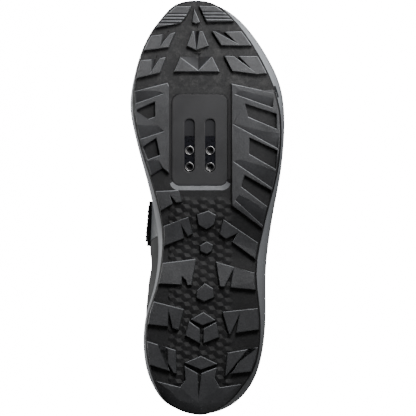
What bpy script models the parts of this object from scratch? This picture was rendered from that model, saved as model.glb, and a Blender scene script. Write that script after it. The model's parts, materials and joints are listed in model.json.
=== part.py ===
"""A left mountain-touring cycling shoe, lying on its outer side as it comes to rest on a floor.

The shoe is drawn in its own frame first: x runs from the heel to the toe, y towards the outer
side, and z up from the ground that the tread would stand on. At the end it is rolled onto its
outer side, toe to +X and sole to -Y. All sizes are metres.
"""

import math
from collections import namedtuple

import bmesh
import bpy
from mathutils import Matrix, Vector
from mathutils.bvhtree import BVHTree

# Overall sizes of the shoe, European size 42
LENGTH = 0.282
BALL_WIDTH = 0.105
INSTEP_HEIGHT = 0.096

# Sole: tread, midsole and their clearance
GAP = 0.0003
LUG = 0.0045
TREAD_BASE = 0.0022
TREAD_CHAMFER = 0.0010
LUG_MARGIN = 0.0010
LUG_ROOT = 0.0010
LUG_DRAFT = 0.0005
WRAP_HEIGHT = 0.0065
WRAP_WALL = 0.0022
SIDE_BAND = 0.0068
HEEL_STACK = 0.0215
BALL_STACK = 0.0145
HEEL_LIP = 0.0070
TOE_LIP = 0.0045
LIP_LEAN = 0.0030
LIP_WALL = 0.0022
SIDE_STEP = 0.0009
TOE_SPRING = 0.0160
HEEL_ROLL = 0.0030
WAIST_LIFT = 0.0025

# The line inside the shoe that its walls face away from: its height as a share of
# INSTEP_HEIGHT, and where it starts and ends as shares of LENGTH
INSIDE_HEIGHT = 0.4
INSIDE_START = 0.25
INSIDE_END = 0.7

# Upper, tongue, insole and straps
UPPER_WALL = 0.0020
INSOLE = 0.0035
TONGUE = 0.0035
TONGUE_REACH = 0.0160
TONGUE_CLEARANCE = 0.0005
STRAP = 0.0011
OVERLAY = 0.0009
LOOP_BAR = 0.0010
LOOP_POST = 0.0024

# The throat's arch reaches out from each edge by this share of the throat's width
ARCH_REACH = 0.33

# The tongue is tucked under the upper's edges by a share of the wall's height, which grows over
# a run of places along SECTIONS. Its free end leans back and narrows.
TUCK_AT_TOP = 0.02
TUCK_MORE = 0.20
TUCK_RUN = 0.8
TONGUE_LEAN = Vector((-0.50, 0.0, 0.86))
TONGUE_NARROWING = 0.14
TONGUE_END_ROWS = (0.5, 1.0)

# Cleat bed: plate, slots and the threaded nut plate behind it
PLATE_LENGTH = 0.0617
PLATE_WIDTH = 0.0377
PLATE_THICKNESS = 0.0012
PLATE_CORNER = 0.0055
PLATE_STATION = 0.662
PLATE_SIDE = -0.0036
SLOT_SPACING = 0.0140
SLOT_LENGTH = 0.0360
SLOT_WIDTH = 0.0068
SLOT_SHIFT = -0.0038
NUT_SHIFT = -0.0127
NUT_LENGTH = 0.0300
NUT_WIDTH = 0.0260
NUT_THICKNESS = 0.0022
NUT_PITCH = 0.0112
BOSS_DIAMETER = 0.0056
BOSS_HEIGHT = 0.0009
THREAD_DIAMETER = 0.0042

# Where the level stretches of the tread and the footbed begin and end, as shares of LENGTH
HEEL_FLAT = 0.09
WAIST_START = 0.30
WAIST_END = 0.50
BALL_START = 0.62
SPRING_START = 0.68

# How finely the outline, the blocks' edges, round corners and circles are drawn
OUTLINE_STEPS = 16
STEPS_PER_KEY = 4
TIP_STEPS_PER_KEY = 8
BLOCK_EDGE_STEPS = 24
HEEL_EDGE_STEPS = 12
CORNER_STEPS = 6
CIRCLE_STEPS = 16
SHARP_ANGLE = math.radians(35)

# Small steps along the curves, to find which way they face, as shares of a turn or a key
OUTLINE_REACH = 0.006
SURFACE_REACH = 0.02
HALVINGS = 30
ROLLS = 60
MERGE = 1e-6
BOOLEAN_MERGE = 2e-6

# The widest line of the sole. Station is a share of LENGTH from the heel, side a share of
# BALL_WIDTH from the centre line, band how far the tread stays inside it as a share of
# SIDE_BAND, and wrap how far the tread climbs the side as a share of WRAP_HEIGHT.
Edge = namedtuple("Edge", "station side band wrap")
WRAP_LEAST = 0.1
HEEL_TIP = Edge(0.000, -0.030, 0.00, 1.0)
TOE_TIP = Edge(1.000, -0.049, 0.00, 1.0)
OUTER_EDGES = (
    Edge(0.017, 0.150, 0.40, 0.6),
    Edge(0.062, 0.285, 0.68, 0.0),
    Edge(0.122, 0.356, 0.40, 0.0),
    Edge(0.216, 0.392, 0.50, 0.0),
    Edge(0.353, 0.395, 0.95, 0.0),
    Edge(0.469, 0.434, 0.65, 0.0),
    Edge(0.595, 0.495, 0.30, 0.0),
    Edge(0.710, 0.515, 0.35, 0.0),
    Edge(0.793, 0.489, 0.68, 0.0),
    Edge(0.855, 0.415, 0.68, 0.0),
    Edge(0.911, 0.322, 0.60, 0.0),
    Edge(0.961, 0.200, 0.38, 0.0),
    Edge(0.990, 0.075, 0.05, 0.8),
)
INNER_EDGES = (
    Edge(0.025, -0.246, 0.15, 0.3),
    Edge(0.085, -0.360, 0.35, 0.0),
    Edge(0.160, -0.400, 0.26, 0.0),
    Edge(0.240, -0.385, 0.20, 0.0),
    Edge(0.305, -0.330, 0.20, 0.0),
    Edge(0.385, -0.302, 0.35, 0.0),
    Edge(0.450, -0.311, 0.50, 0.0),
    Edge(0.542, -0.360, 0.40, 0.0),
    Edge(0.653, -0.440, 0.22, 0.0),
    Edge(0.744, -0.486, 0.26, 0.0),
    Edge(0.828, -0.452, 0.12, 0.0),
    Edge(0.900, -0.388, 0.08, 0.0),
    Edge(0.954, -0.292, 0.06, 0.6),
    Edge(0.990, -0.190, 0.00, 1.0),
)

# The midsole's side from the tread up: height is a share of the way to the rim, inset a share of
# the tread's band inside the widest line
Flank = namedtuple("Flank", "height inset")
FLANKS = (Flank(0.06, 1.0), Flank(0.22, 0.35), Flank(0.42, 0.0), Flank(0.56, 0.0))
STEP_START = 0.60
STEP_END = 0.78

# Sections of the upper from the back of the heel to the toe. Foot is the share of the way
# along the sole's edge, top the station of the upper's free edge (share of LENGTH), outer and
# inner its distance from the centre line (shares of BALL_WIDTH), height its height (share of
# INSTEP_HEIGHT). Belly is how far the wall swells over the sole, rise how high that handle
# stands, shoulder and drop the handle below the free edge (all shares of INSTEP_HEIGHT).
Section = namedtuple(
    "Section", "foot top outer inner height belly_outer belly_inner rise shoulder drop"
)
SECTIONS = (
    Section(0.000, 0.030, 0.000, 0.000, 0.83, 0.04, 0.04, 0.20, -0.02, 0.16),
    Section(0.100, 0.062, 0.190, 0.190, 0.80, 0.04, 0.05, 0.20, 0.00, 0.15),
    Section(0.200, 0.148, 0.275, 0.275, 0.73, 0.03, 0.05, 0.18, 0.02, 0.14),
    Section(0.300, 0.262, 0.292, 0.285, 0.69, 0.03, 0.17, 0.20, 0.05, 0.12),
    Section(0.415, 0.392, 0.215, 0.215, 0.96, 0.02, 0.25, 0.28, 0.10, 0.14),
    Section(0.530, 0.520, 0.165, 0.165, 0.89, 0.02, 0.12, 0.24, 0.13, 0.10),
    Section(0.650, 0.655, 0.130, 0.130, 0.76, 0.03, 0.05, 0.20, 0.17, 0.07),
    Section(0.745, 0.735, 0.095, 0.095, 0.70, 0.03, 0.03, 0.18, 0.22, 0.05),
    Section(0.875, 0.756, 0.055, 0.055, 0.68, 0.04, 0.04, 0.18, 0.30, 0.06),
    Section(1.000, 0.764, 0.000, 0.000, 0.675, 0.04, 0.04, 0.18, 0.36, 0.07),
)
INSTEP_KEY = 4
TOE_KEY = len(SECTIONS) - 1
KEYS_AROUND = 2 * TOE_KEY
WALL_ROWS = (0.0, 0.08, 0.17, 0.27, 0.38, 0.50, 0.62, 0.73, 0.83, 0.92, 1.0)
BRIDGE_ROWS = (0.14, 0.32, 0.50, 0.68, 0.86)

# Straps over the throat. Back and front are places along SECTIONS, outer and inner how far
# down each wall the strap reaches, as a share of the wall's height.
Strap = namedtuple("Strap", "name back front outer inner")
INSTEP_STRAP = Strap("strap_instep", 4.08, 4.78, 0.88, 0.375)
STRAPS = (
    Strap("strap_middle", 5.02, 5.62, 0.62, 0.50),
    Strap("strap_toe", 5.94, 6.50, 0.62, 0.55),
)

# The loop on the inner wall that the instep strap turns back through: its lower edge, the
# opening and the bar that the strap goes round, and where the turned end stops, as shares of
# the wall's height
LOOP_FOOT = 0.290
LOOP_OPENING = 0.360
LOOP_BAR_START = 0.400
LOOP_BAR_END = 0.440
TURNED_END = 0.78
TURN_INSIDE = 0.7

# Overlays laid on the upper, from one place along SECTIONS to another and up the wall
Overlay = namedtuple("Overlay", "name start end shares")
OVERLAYS = (
    Overlay("toe_cap", 7.75, 10.25, (0.04, 0.08, 0.17, 0.27, 0.38)),
    Overlay("heel_counter", -1.75, 1.75, (0.04, 0.08, 0.17, 0.27, 0.38, 0.50, 0.62)),
)

# Tread blocks that reach the tread's edge. Side is +1 on the outer side and -1 on the inner
# side, toe and heel are the stations at the edge, and corners lists the other corners from the
# toe to the heel. Stations are percent of LENGTH, the rest percent of BALL_WIDTH.
EdgeBlock = namedtuple("EdgeBlock", "side toe heel corners")
EDGE_BLOCKS = (
    EdgeBlock(-1, 98.6, 93.1, ((98.5, -8.6), (96.0, -11.9), (94.2, -15.8))),
    EdgeBlock(1, 98.6, 94.7, ((98.6, -4.2), (94.5, 0.9))),
    EdgeBlock(-1, 91.3, 87.6, ((91.8, -25.6), (88.7, -28.8), (91.8, -22.3), (92.2, -18.8), (88.3, -23.3))),
    EdgeBlock(1, 92.4, 88.8, ((92.3, 12.3), (89.4, 20.7), (92.3, 6.5), (92.4, 4.2), (88.8, 10.1))),
    EdgeBlock(-1, 85.4, 80.8, ((85.7, -31.7), (82.6, -34.5), (85.9, -28.8), (86.1, -24.9), (82.2, -28.8))),
    EdgeBlock(1, 86.4, 82.0, ((86.4, 21.4), (83.0, 30.4), (86.4, 18.1), (86.4, 12.0), (82.6, 17.2))),
    EdgeBlock(-1, 78.0, 57.5, ((80.0, -24.1), (79.2, -23.1), (58.0, -23.1), (59.3, -27.2))),
    EdgeBlock(1, 77.6, 44.8, ((79.8, 17.0), (50.3, 17.0))),
    EdgeBlock(-1, 53.9, 49.0, ((54.2, -16.8), (51.3, -14.5), (51.0, -18.1), (53.2, -22.9), (50.7, -20.7))),
    EdgeBlock(-1, 45.5, 40.6, ((47.8, -10.6), (43.7, -7.6), (42.9, -10.6), (46.1, -15.5), (42.5, -13.2))),
    EdgeBlock(1, 41.4, 37.4, ((47.2, 11.7), (43.6, 8.8), (42.4, 13.0), (44.0, 21.2), (41.6, 17.0))),
    EdgeBlock(-1, 36.7, 31.6, ((37.7, -5.6), (31.2, -8.3), (31.2, -11.2), (36.2, -14.5), (31.3, -14.8))),
    EdgeBlock(1, 34.3, 30.1, ((37.0, 6.8), (30.9, 9.1), (30.8, 12.0), (35.1, 17.9), (30.6, 16.0))),
    EdgeBlock(-1, 27.5, 21.9, ((25.6, -13.2), (20.4, -16.8), (20.9, -20.7), (25.4, -23.4), (21.2, -23.7))),
    EdgeBlock(1, 25.9, 20.6, ((25.0, 10.8), (19.4, 15.0), (19.5, 16.2), (24.3, 21.9), (19.7, 19.6))),
    EdgeBlock(-1, 18.0, 12.1, ((15.8, -18.5), (10.0, -18.1), (10.1, -20.1), (15.4, -28.0), (10.5, -22.4))),
    EdgeBlock(1, 16.5, 10.5, ((15.2, 14.1), (9.4, 12.4), (9.5, 13.3), (14.6, 24.5), (9.9, 16.6))),
)

# The block around the heel: its outer and inner ends at the edge, then its other corners
HEEL_BLOCK = EdgeBlock(
    0,
    7.7,
    8.4,
    (
        (6.9, -16.5), (8.6, -12.9), (12.1, -13.5), (10.3, -4.9),
        (4.5, -4.3), (10.3, -2.3), (11.7, 7.8), (9.0, 6.5), (6.8, 10.1),
    ),
)

# Free-standing tread blocks along the middle, percent of LENGTH and of BALL_WIDTH
MIDDLE_BLOCKS = (
    ((98.0, -7.1), (94.5, -8.5), (94.0, -6.2), (94.5, -3.0)),
    ((92.5, -8.4), (92.5, -1.3), (88.8, 2.6), (87.6, -5.6), (88.7, -12.0)),
    ((86.2, -16.2), (86.2, 5.0), (82.5, 9.7), (82.5, -20.5)),
    ((49.3, 2.2), (48.2, 7.4), (45.8, 6.2), (44.5, 0.9), (45.7, -4.7), (48.3, -5.6)),
    ((41.9, 1.2), (41.0, 5.5), (39.5, 4.9), (38.6, 1.2), (39.4, -3.4), (40.9, -3.7)),
    ((31.9, -0.1), (30.6, 5.5), (28.4, 6.2), (27.2, -0.7), (28.3, -6.0), (30.1, -5.6)),
    ((25.0, -1.0), (22.9, 7.1), (21.5, -1.7), (23.1, -9.6)),
    ((22.8, -10.6), (20.9, -3.0), (17.2, -3.0), (19.2, -13.2)),
    ((22.6, 7.4), (20.9, -1.4), (17.2, -1.4), (18.8, 9.5)),
    ((14.5, -2.7), (12.4, 8.5), (10.9, -2.7), (12.7, -13.5)),
)

# Pockets cut in the two blocks beside the cleat bed, down to the tread's base
POCKETS = (
    ((73.4, -44.0), (75.3, -32.4), (71.7, -32.4), (70.2, -43.6)),
    ((64.5, -40.2), (66.6, -31.5), (62.5, -29.3), (61.4, -36.9)),
    ((72.4, 46.0), (74.8, 25.8), (71.7, 27.7), (68.8, 46.0)),
    ((63.6, 46.4), (66.7, 28.7), (62.8, 28.4), (59.1, 45.6)),
    ((54.0, 42.8), (57.7, 25.5), (54.9, 23.4), (50.1, 40.4)),
)
PERCENT = 0.01

# Rough densities, only to find where the shoe's weight lies. The moulded sole weighs far more
# than the cloth above it.
DENSITY = {
    "outsole": 1100.0, "midsole": 1100.0, "cleat_plate": 1200.0, "cleat_nut": 7800.0,
    "strap_loop": 1200.0,
}
CLOTH_DENSITY = 300.0

# Name of the finish, its colour, roughness and metallic value
Finish = namedtuple("Finish", "name colour roughness metallic")
RUBBER = Finish("tread_rubber", (0.045, 0.046, 0.052), 0.62, 0.0)
FOAM = Finish("midsole_foam", (0.36, 0.38, 0.41), 0.70, 0.0)
CLOTH = Finish("upper_synthetic", (0.115, 0.118, 0.120), 0.60, 0.0)
PANEL = Finish("overlay_synthetic", (0.050, 0.055, 0.062), 0.45, 0.0)
PADDING = Finish("tongue_fabric", (0.035, 0.036, 0.040), 0.85, 0.0)
LINING = Finish("insole_fabric", (0.060, 0.062, 0.068), 0.90, 0.0)
WEBBING = Finish("strap_webbing", (0.018, 0.018, 0.020), 0.70, 0.0)
MOULDED = Finish("loop_plastic", (0.020, 0.020, 0.022), 0.40, 0.0)
PLATE_FINISH = Finish("plate_plastic", (0.050, 0.050, 0.056), 0.50, 0.0)
STEEL = Finish("nut_steel", (0.42, 0.42, 0.43), 0.35, 1.0)


# Smooth curves through the tables


def smoothstep(share):
    """0 below 0, 1 above 1, and an even swing between."""
    share = min(max(share, 0.0), 1.0)
    return share * share * (3 - 2 * share)


def mix(start, end, share):
    """The value between two values."""
    return start + (end - start) * share


def swing(before, start, end, after, share):
    """A Catmull-Rom curve from start to end, for numbers or vectors."""
    square, cube = share * share, share * share * share
    lead = (end - before) * 0.5
    trail = (after - start) * 0.5
    return (
        start * (2 * cube - 3 * square + 1)
        + lead * (cube - 2 * square + share)
        + end * (3 * square - 2 * cube)
        + trail * (cube - square)
    )


def edge_vector(edge):
    """A row of the edge tables as a vector: x, y, band and wrap."""
    return Vector((edge.station * LENGTH, edge.side * BALL_WIDTH, edge.band, edge.wrap))


def drawn_side(edges):
    """The dense line of one side from the heel tip to the toe tip, with its running length."""
    rows = [edge_vector(edge) for edge in (HEEL_TIP, *edges, TOE_TIP)]
    mirrored = edge_vector(INNER_EDGES[0] if edges is OUTER_EDGES else OUTER_EDGES[0])
    beyond = edge_vector(INNER_EDGES[-1] if edges is OUTER_EDGES else OUTER_EDGES[-1])
    rows = [mirrored, *rows, beyond]
    points = []
    for index in range(1, len(rows) - 2):
        before, start, end, after = rows[index - 1 : index + 3]
        span = (end.xy - start.xy).length
        lead = (end - before) * span / ((end.xy - start.xy).length + (start.xy - before.xy).length)
        trail = (after - start) * span / ((after.xy - end.xy).length + (end.xy - start.xy).length)
        for step in range(OUTLINE_STEPS):
            points.append(swing(end - 2 * lead, start, end, start + 2 * trail, step / OUTLINE_STEPS))
    points.append(rows[-2])
    lengths = [0.0]
    for first, second in zip(points, points[1:]):
        lengths.append(lengths[-1] + (second.xy - first.xy).length)
    return points, lengths


OUTER_SIDE = drawn_side(OUTER_EDGES)
INNER_SIDE = drawn_side(INNER_EDGES)


def on_side(side, share):
    """The row of one side's dense line at a share of its length."""
    points, lengths = side
    target = min(max(share, 0.0), 1.0) * lengths[-1]
    index = 0
    while index < len(points) - 2 and lengths[index + 1] < target:
        index += 1
    span = lengths[index + 1] - lengths[index]
    return points[index].lerp(points[index + 1], (target - lengths[index]) / span)


def sole_row(around):
    """The widest line's row. Around runs 0 to 1 up the outer side and on to 2 at the heel."""
    around %= 2.0
    return on_side(OUTER_SIDE, around) if around <= 1 else on_side(INNER_SIDE, 2 - around)


def outward(around):
    """The direction that points away from the shoe, level, at a place around the sole."""
    ahead, behind = sole_row(around + OUTLINE_REACH), sole_row(around - OUTLINE_REACH)
    along = (ahead.xy - behind.xy).normalized()
    return Vector((-along.y, along.x))


def edge_point(around, inset):
    """A level point this far inside the widest line."""
    return sole_row(around).xy - outward(around) * inset


def band_inset(around):
    """How far the tread's edge lies inside the widest line."""
    return max(sole_row(around)[2], 0.0) * SIDE_BAND


def tread_point(around, inset):
    """A level point this far inside the tread's edge."""
    return edge_point(around, band_inset(around) + inset)


# Heights of the sole


def toe_rise(x):
    """How far the toe curves up off the ground."""
    share = max(0.0, (x / LENGTH - SPRING_START) / (1 - SPRING_START))
    return TOE_SPRING * share * share


def ground_clearance(x):
    """Height of the tread's face over the ground: toe spring, waist and rolled heel."""
    station = x / LENGTH
    heel = max(0.0, (HEEL_FLAT - station) / HEEL_FLAT)
    waist = min(max((station - WAIST_START) / (WAIST_END - WAIST_START), 0.0), 1.0)
    return toe_rise(x) + HEEL_ROLL * heel * heel + WAIST_LIFT * math.sin(math.pi * waist) ** 2


def base_bottom(x):
    return ground_clearance(x) + LUG


def base_top(x):
    return base_bottom(x) + TREAD_BASE


def footbed(x):
    """Height of the midsole's upper face, thick at the heel and thin at the ball."""
    share = smoothstep((x / LENGTH - WAIST_START) / (BALL_START - WAIST_START))
    return mix(HEEL_STACK, BALL_STACK, share) + toe_rise(x)


def lip_top(x):
    """Height of the rim of the midsole that cups the upper."""
    share = smoothstep((x / LENGTH - WAIST_START) / (BALL_START - WAIST_START))
    return footbed(x) + mix(HEEL_LIP, TOE_LIP, share)


# The upper's outer surface


def key_row(key):
    """Section values at a whole key: around, top point, belly, rise, shoulder and drop."""
    turn, index = divmod(key, KEYS_AROUND)
    outer_side = index <= TOE_KEY
    section = SECTIONS[index if outer_side else KEYS_AROUND - index]
    around = section.foot if outer_side else 2 - section.foot
    side = section.outer if outer_side else -section.inner
    belly = section.belly_outer if outer_side else section.belly_inner
    return (
        around + 2 * turn,
        section.top * LENGTH,
        side * BALL_WIDTH,
        section.height * INSTEP_HEIGHT,
        belly * INSTEP_HEIGHT,
        section.rise * INSTEP_HEIGHT,
        section.shoulder * INSTEP_HEIGHT,
        section.drop * INSTEP_HEIGHT,
    )


def section_values(place):
    """The same values anywhere around: 0 at the heel, TOE_KEY at the toe, back to the heel."""
    key = math.floor(place)
    rows = [key_row(key + shift) for shift in (-1, 0, 1, 2)]
    return [swing(*column, place - key) for column in zip(*rows)]


def around_of(place):
    """The place around the sole that a place around the upper stands on."""
    return section_values(place)[0]


UPPER_INSET = LIP_LEAN + LIP_WALL + GAP


def wall_handles(place):
    """The four points that a wall's curve is drawn from, at one place around the upper."""
    around, top_x, top_y, height, belly, rise, shoulder, drop = section_values(place)
    foot = edge_point(around, UPPER_INSET)
    away = outward(around)
    start = Vector((foot.x, foot.y, lip_top(foot.x)))
    top = Vector((top_x, top_y, height))
    first = start + Vector((away.x * belly, away.y * belly, rise))
    lean = (start.xy - top.xy).normalized() if abs(top_y) > GAP else away
    second = top + Vector((lean.x * shoulder, lean.y * shoulder, -drop))
    return start, first, second, top


def bezier(handles, share):
    """A point on a cubic curve."""
    rest = 1 - share
    start, first, second, end = handles
    return (
        start * rest**3
        + first * (3 * rest * rest * share)
        + second * (3 * rest * share * share)
        + end * share**3
    )


def wall(place, share):
    """A point on the upper's outer surface: share 0 at the midsole's rim, 1 at the free edge."""
    return bezier(wall_handles(place), share)


def bridge(place, share):
    """A point over the throat, in an arch from the outer free edge to the inner one."""
    outer = wall_handles(place)
    inner = wall_handles(KEYS_AROUND - place)
    reach = (outer[3] - inner[3]).length * ARCH_REACH
    first = outer[3] + (outer[3] - outer[2]).normalized() * reach
    second = inner[3] + (inner[3] - inner[2]).normalized() * reach
    return bezier((outer[3], first, second, inner[3]), share)


def over(place, share):
    """A point across the whole shoe: 0 to 1 up the outer wall, to 2 over, to 3 down inside."""
    if share <= 1:
        return wall(place, share)
    if share >= 2:
        return wall(KEYS_AROUND - place, 3 - share)
    return bridge(place, share - 1)


def over_lifted(place, share, lift):
    """A point held off the surface that `over` draws."""
    along = over(place + SURFACE_REACH, share) - over(place - SURFACE_REACH, share)
    across = over(place, share + SURFACE_REACH) - over(place, share - SURFACE_REACH)
    normal = across.cross(along).normalized()
    point = over(place, share)
    middle = Vector((point.x, 0.0, INSTEP_HEIGHT * INSIDE_HEIGHT))
    if normal.dot(point - middle) < 0:
        normal.negate()
    return point + normal * lift


# Building closed bodies


def add_object(name, mesh_builder, finish):
    """A finished object from a bmesh, its faces pointing out and its round parts smooth."""
    bmesh.ops.remove_doubles(mesh_builder, verts=mesh_builder.verts, dist=MERGE)
    bmesh.ops.dissolve_degenerate(mesh_builder, dist=MERGE / 10, edges=mesh_builder.edges)
    bmesh.ops.recalc_face_normals(mesh_builder, faces=mesh_builder.faces)
    mesh = bpy.data.meshes.new(name)
    mesh_builder.to_mesh(mesh)
    mesh_builder.free()
    mesh.shade_smooth()
    mesh.set_sharp_from_angle(angle=SHARP_ANGLE)
    mesh.materials.append(material(finish))
    piece = bpy.data.objects.new(name, mesh)
    bpy.context.scene.collection.objects.link(piece)
    return piece


def material(finish):
    """The finish as a Principled material, made once."""
    existing = bpy.data.materials.get(finish.name)
    if existing:
        return existing
    made = bpy.data.materials.new(finish.name)
    made.use_nodes = True
    shader = made.node_tree.nodes["Principled BSDF"]
    shader.inputs["Base Color"].default_value = (*finish.colour, 1.0)
    shader.inputs["Roughness"].default_value = finish.roughness
    shader.inputs["Metallic"].default_value = finish.metallic
    return made


def places_around():
    """The places around the shoe where the upper's rings have their points."""
    return [step / STEPS_PER_KEY for step in range(KEYS_AROUND * STEPS_PER_KEY)]


def sole_places():
    """The places of the sole's rings, which are closer together round the heel and the toe."""
    places = []
    for key in range(KEYS_AROUND):
        at_tip = key in (0, KEYS_AROUND - 1, TOE_KEY - 1, TOE_KEY)
        steps = TIP_STEPS_PER_KEY if at_tip else STEPS_PER_KEY
        places += [key + step / steps for step in range(steps)]
    return places


def loft(rings):
    """A closed body from rings with matching points, capped by strips from side to side."""
    builder = bmesh.new()
    count = len(rings[0])
    rows = [[builder.verts.new(point) for point in ring] for ring in rings]
    for low, high in zip(rows, rows[1:]):
        for index in range(count):
            after = (index + 1) % count
            builder.faces.new((low[index], low[after], high[after], high[index]))
    half = count // 2
    for row in (rows[0], rows[-1]):
        for index in range(half):
            corners = (row[index], row[index + 1], row[-index - 1], row[-index % count])
            builder.faces.new(dict.fromkeys(corners))
    return builder


def shell(grid, low, high, closed=False):
    """A closed wall over a grid of surface points, from `low` to `high` out along its normals."""
    builder = bmesh.new()
    rows = [[builder.verts.new(point) for point in row] for row in grid]
    width = len(grid[0])
    for first, second in zip(rows, rows[1:]):
        for index in range(width if closed else width - 1):
            after = (index + 1) % width
            builder.faces.new((first[index], first[after], second[after], second[index]))
    bmesh.ops.remove_doubles(builder, verts=builder.verts, dist=MERGE)
    bmesh.ops.recalc_face_normals(builder, faces=builder.faces)
    middle = Vector((0.0, 0.0, INSTEP_HEIGHT * INSIDE_HEIGHT))
    facing = 0.0
    for face in builder.faces:
        centre = face.calc_center_median()
        middle.x = min(max(centre.x, LENGTH * INSIDE_START), LENGTH * INSIDE_END)
        facing += face.normal.dot(centre - middle) * face.calc_area()
    if facing < 0:
        bmesh.ops.reverse_faces(builder, faces=builder.faces)
    builder.normal_update()
    outer = list(builder.verts)
    normals = [vert.normal.copy() for vert in outer]
    faces = list(builder.faces)
    rim = [edge for edge in builder.edges if edge.is_boundary]
    under = {}
    for vert, normal in zip(outer, normals):
        under[vert] = builder.verts.new(vert.co + normal * low)
    for face in faces:
        builder.faces.new([under[vert] for vert in reversed(face.verts)])
    for edge in rim:
        first, second = edge.verts
        builder.faces.new((first, second, under[second], under[first]))
    for vert, normal in zip(outer, normals):
        vert.co += normal * high
    return builder


def prism(corners, bottoms, tops):
    """A closed body with upright sides, its bottom and top at each corner's own height."""
    builder = bmesh.new()
    low = [builder.verts.new((*corner, height)) for corner, height in zip(corners, bottoms)]
    high = [builder.verts.new((*corner, height)) for corner, height in zip(corners, tops)]
    builder.faces.new(reversed(low))
    builder.faces.new(high)
    for index in range(len(corners)):
        after = (index + 1) % len(corners)
        builder.faces.new((low[index], low[after], high[after], high[index]))
    return builder


def rounded_rectangle(centre, length, width, corner):
    """Corners of a level rectangle with round ends or corners."""
    points = []
    for turn, along, across in ((0, 1, 1), (1, -1, 1), (2, -1, -1), (3, 1, -1)):
        middle = Vector(
            (centre.x + along * (length / 2 - corner), centre.y + across * (width / 2 - corner))
        )
        for step in range(CORNER_STEPS + 1):
            angle = math.pi / 2 * (turn + step / CORNER_STEPS)
            points.append(middle + Vector((math.cos(angle), math.sin(angle))) * corner)
    return points


def joined(builders):
    """Several closed bodies in one bmesh."""
    whole = bmesh.new()
    for builder in builders:
        mesh = bpy.data.meshes.new("joined")
        builder.to_mesh(mesh)
        builder.free()
        whole.from_mesh(mesh)
        bpy.data.meshes.remove(mesh)
    return whole


def boolean(piece, builders, operation):
    """Joins the closed bodies to the piece, or cuts them from it."""
    whole = joined(builders)
    bmesh.ops.recalc_face_normals(whole, faces=whole.faces)
    mesh = bpy.data.meshes.new("tool")
    whole.to_mesh(mesh)
    whole.free()
    tool = bpy.data.objects.new("tool", mesh)
    bpy.context.scene.collection.objects.link(tool)
    modifier = piece.modifiers.new(operation.lower(), "BOOLEAN")
    modifier.operation = operation
    modifier.solver = "EXACT"
    modifier.object = tool
    evaluated = piece.evaluated_get(bpy.context.evaluated_depsgraph_get())
    result = bmesh.new()
    result.from_mesh(bpy.data.meshes.new_from_object(evaluated))
    bmesh.ops.remove_doubles(result, verts=result.verts, dist=BOOLEAN_MERGE)
    bmesh.ops.dissolve_degenerate(result, dist=MERGE, edges=result.edges)
    bmesh.ops.triangulate(result, faces=[face for face in result.faces if len(face.verts) > 4])
    piece.modifiers.clear()
    result.to_mesh(piece.data)
    result.free()
    bpy.data.objects.remove(tool)
    piece.data.shade_smooth()
    piece.data.set_sharp_from_angle(angle=SHARP_ANGLE)


# Outsole: the black rubber tread, which climbs the sides at the toe and the heel


def wrap_heights():
    """How far the tread climbs the side at each place around."""
    rows = [sole_row(around_of(place)) for place in sole_places()]
    return [WRAP_HEIGHT * row[3] if row[3] > WRAP_LEAST else 0.0 for row in rows]


def ring(inset_of, height_of, places=None):
    """A ring of points around the sole from an inset and a height for each place."""
    points = []
    for index, place in enumerate(places or sole_places()):
        around = around_of(place)
        flat = edge_point(around, inset_of(index, around))
        points.append(Vector((flat.x, flat.y, height_of(index, flat.x))))
    return points


def flat_corner(corner):
    """A corner from a table in percent, in metres."""
    station, side = corner
    return Vector((station * PERCENT * LENGTH, side * PERCENT * BALL_WIDTH))


def around_at(side, station):
    """The place around the sole, on one side, where the tread's edge passes a station."""
    low, high = 0.0, 1.0
    for _ in range(HALVINGS):
        middle = (low + high) / 2
        around = middle if side > 0 else 2 - middle
        if tread_point(around, LUG_MARGIN).x < station * PERCENT * LENGTH:
            low = middle
        else:
            high = middle
    return low if side > 0 else 2 - low


def edge_run(start, end, steps):
    """Points along the tread's edge, a block's margin inside it."""
    return [tread_point(mix(start, end, step / steps), LUG_MARGIN) for step in range(steps + 1)]


def block_corners(block):
    """All corners of a block that reaches the tread's edge."""
    corners = [flat_corner(corner) for corner in block.corners]
    if block.side == 0:
        start, end = around_at(-1, block.heel) - 2, around_at(1, block.toe)
        return edge_run(start, end, HEEL_EDGE_STEPS) + corners[::-1]
    start, end = around_at(block.side, block.heel), around_at(block.side, block.toe)
    steps = max(2, round(abs(end - start) * BLOCK_EDGE_STEPS))
    return edge_run(start, end, steps) + corners


def tread_block(corners):
    """A tread block: its face on the tread plane, slightly smaller than its root."""
    centre = sum(corners, Vector((0.0, 0.0))) / len(corners)
    builder = prism(
        corners,
        [ground_clearance(corner.x) for corner in corners],
        [base_bottom(corner.x) + LUG_ROOT for corner in corners],
    )
    builder.verts.ensure_lookup_table()
    for vert in builder.verts[: len(corners)]:
        inward = centre - vert.co.xy
        vert.co.xy += inward.normalized() * LUG_DRAFT
    return builder


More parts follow.
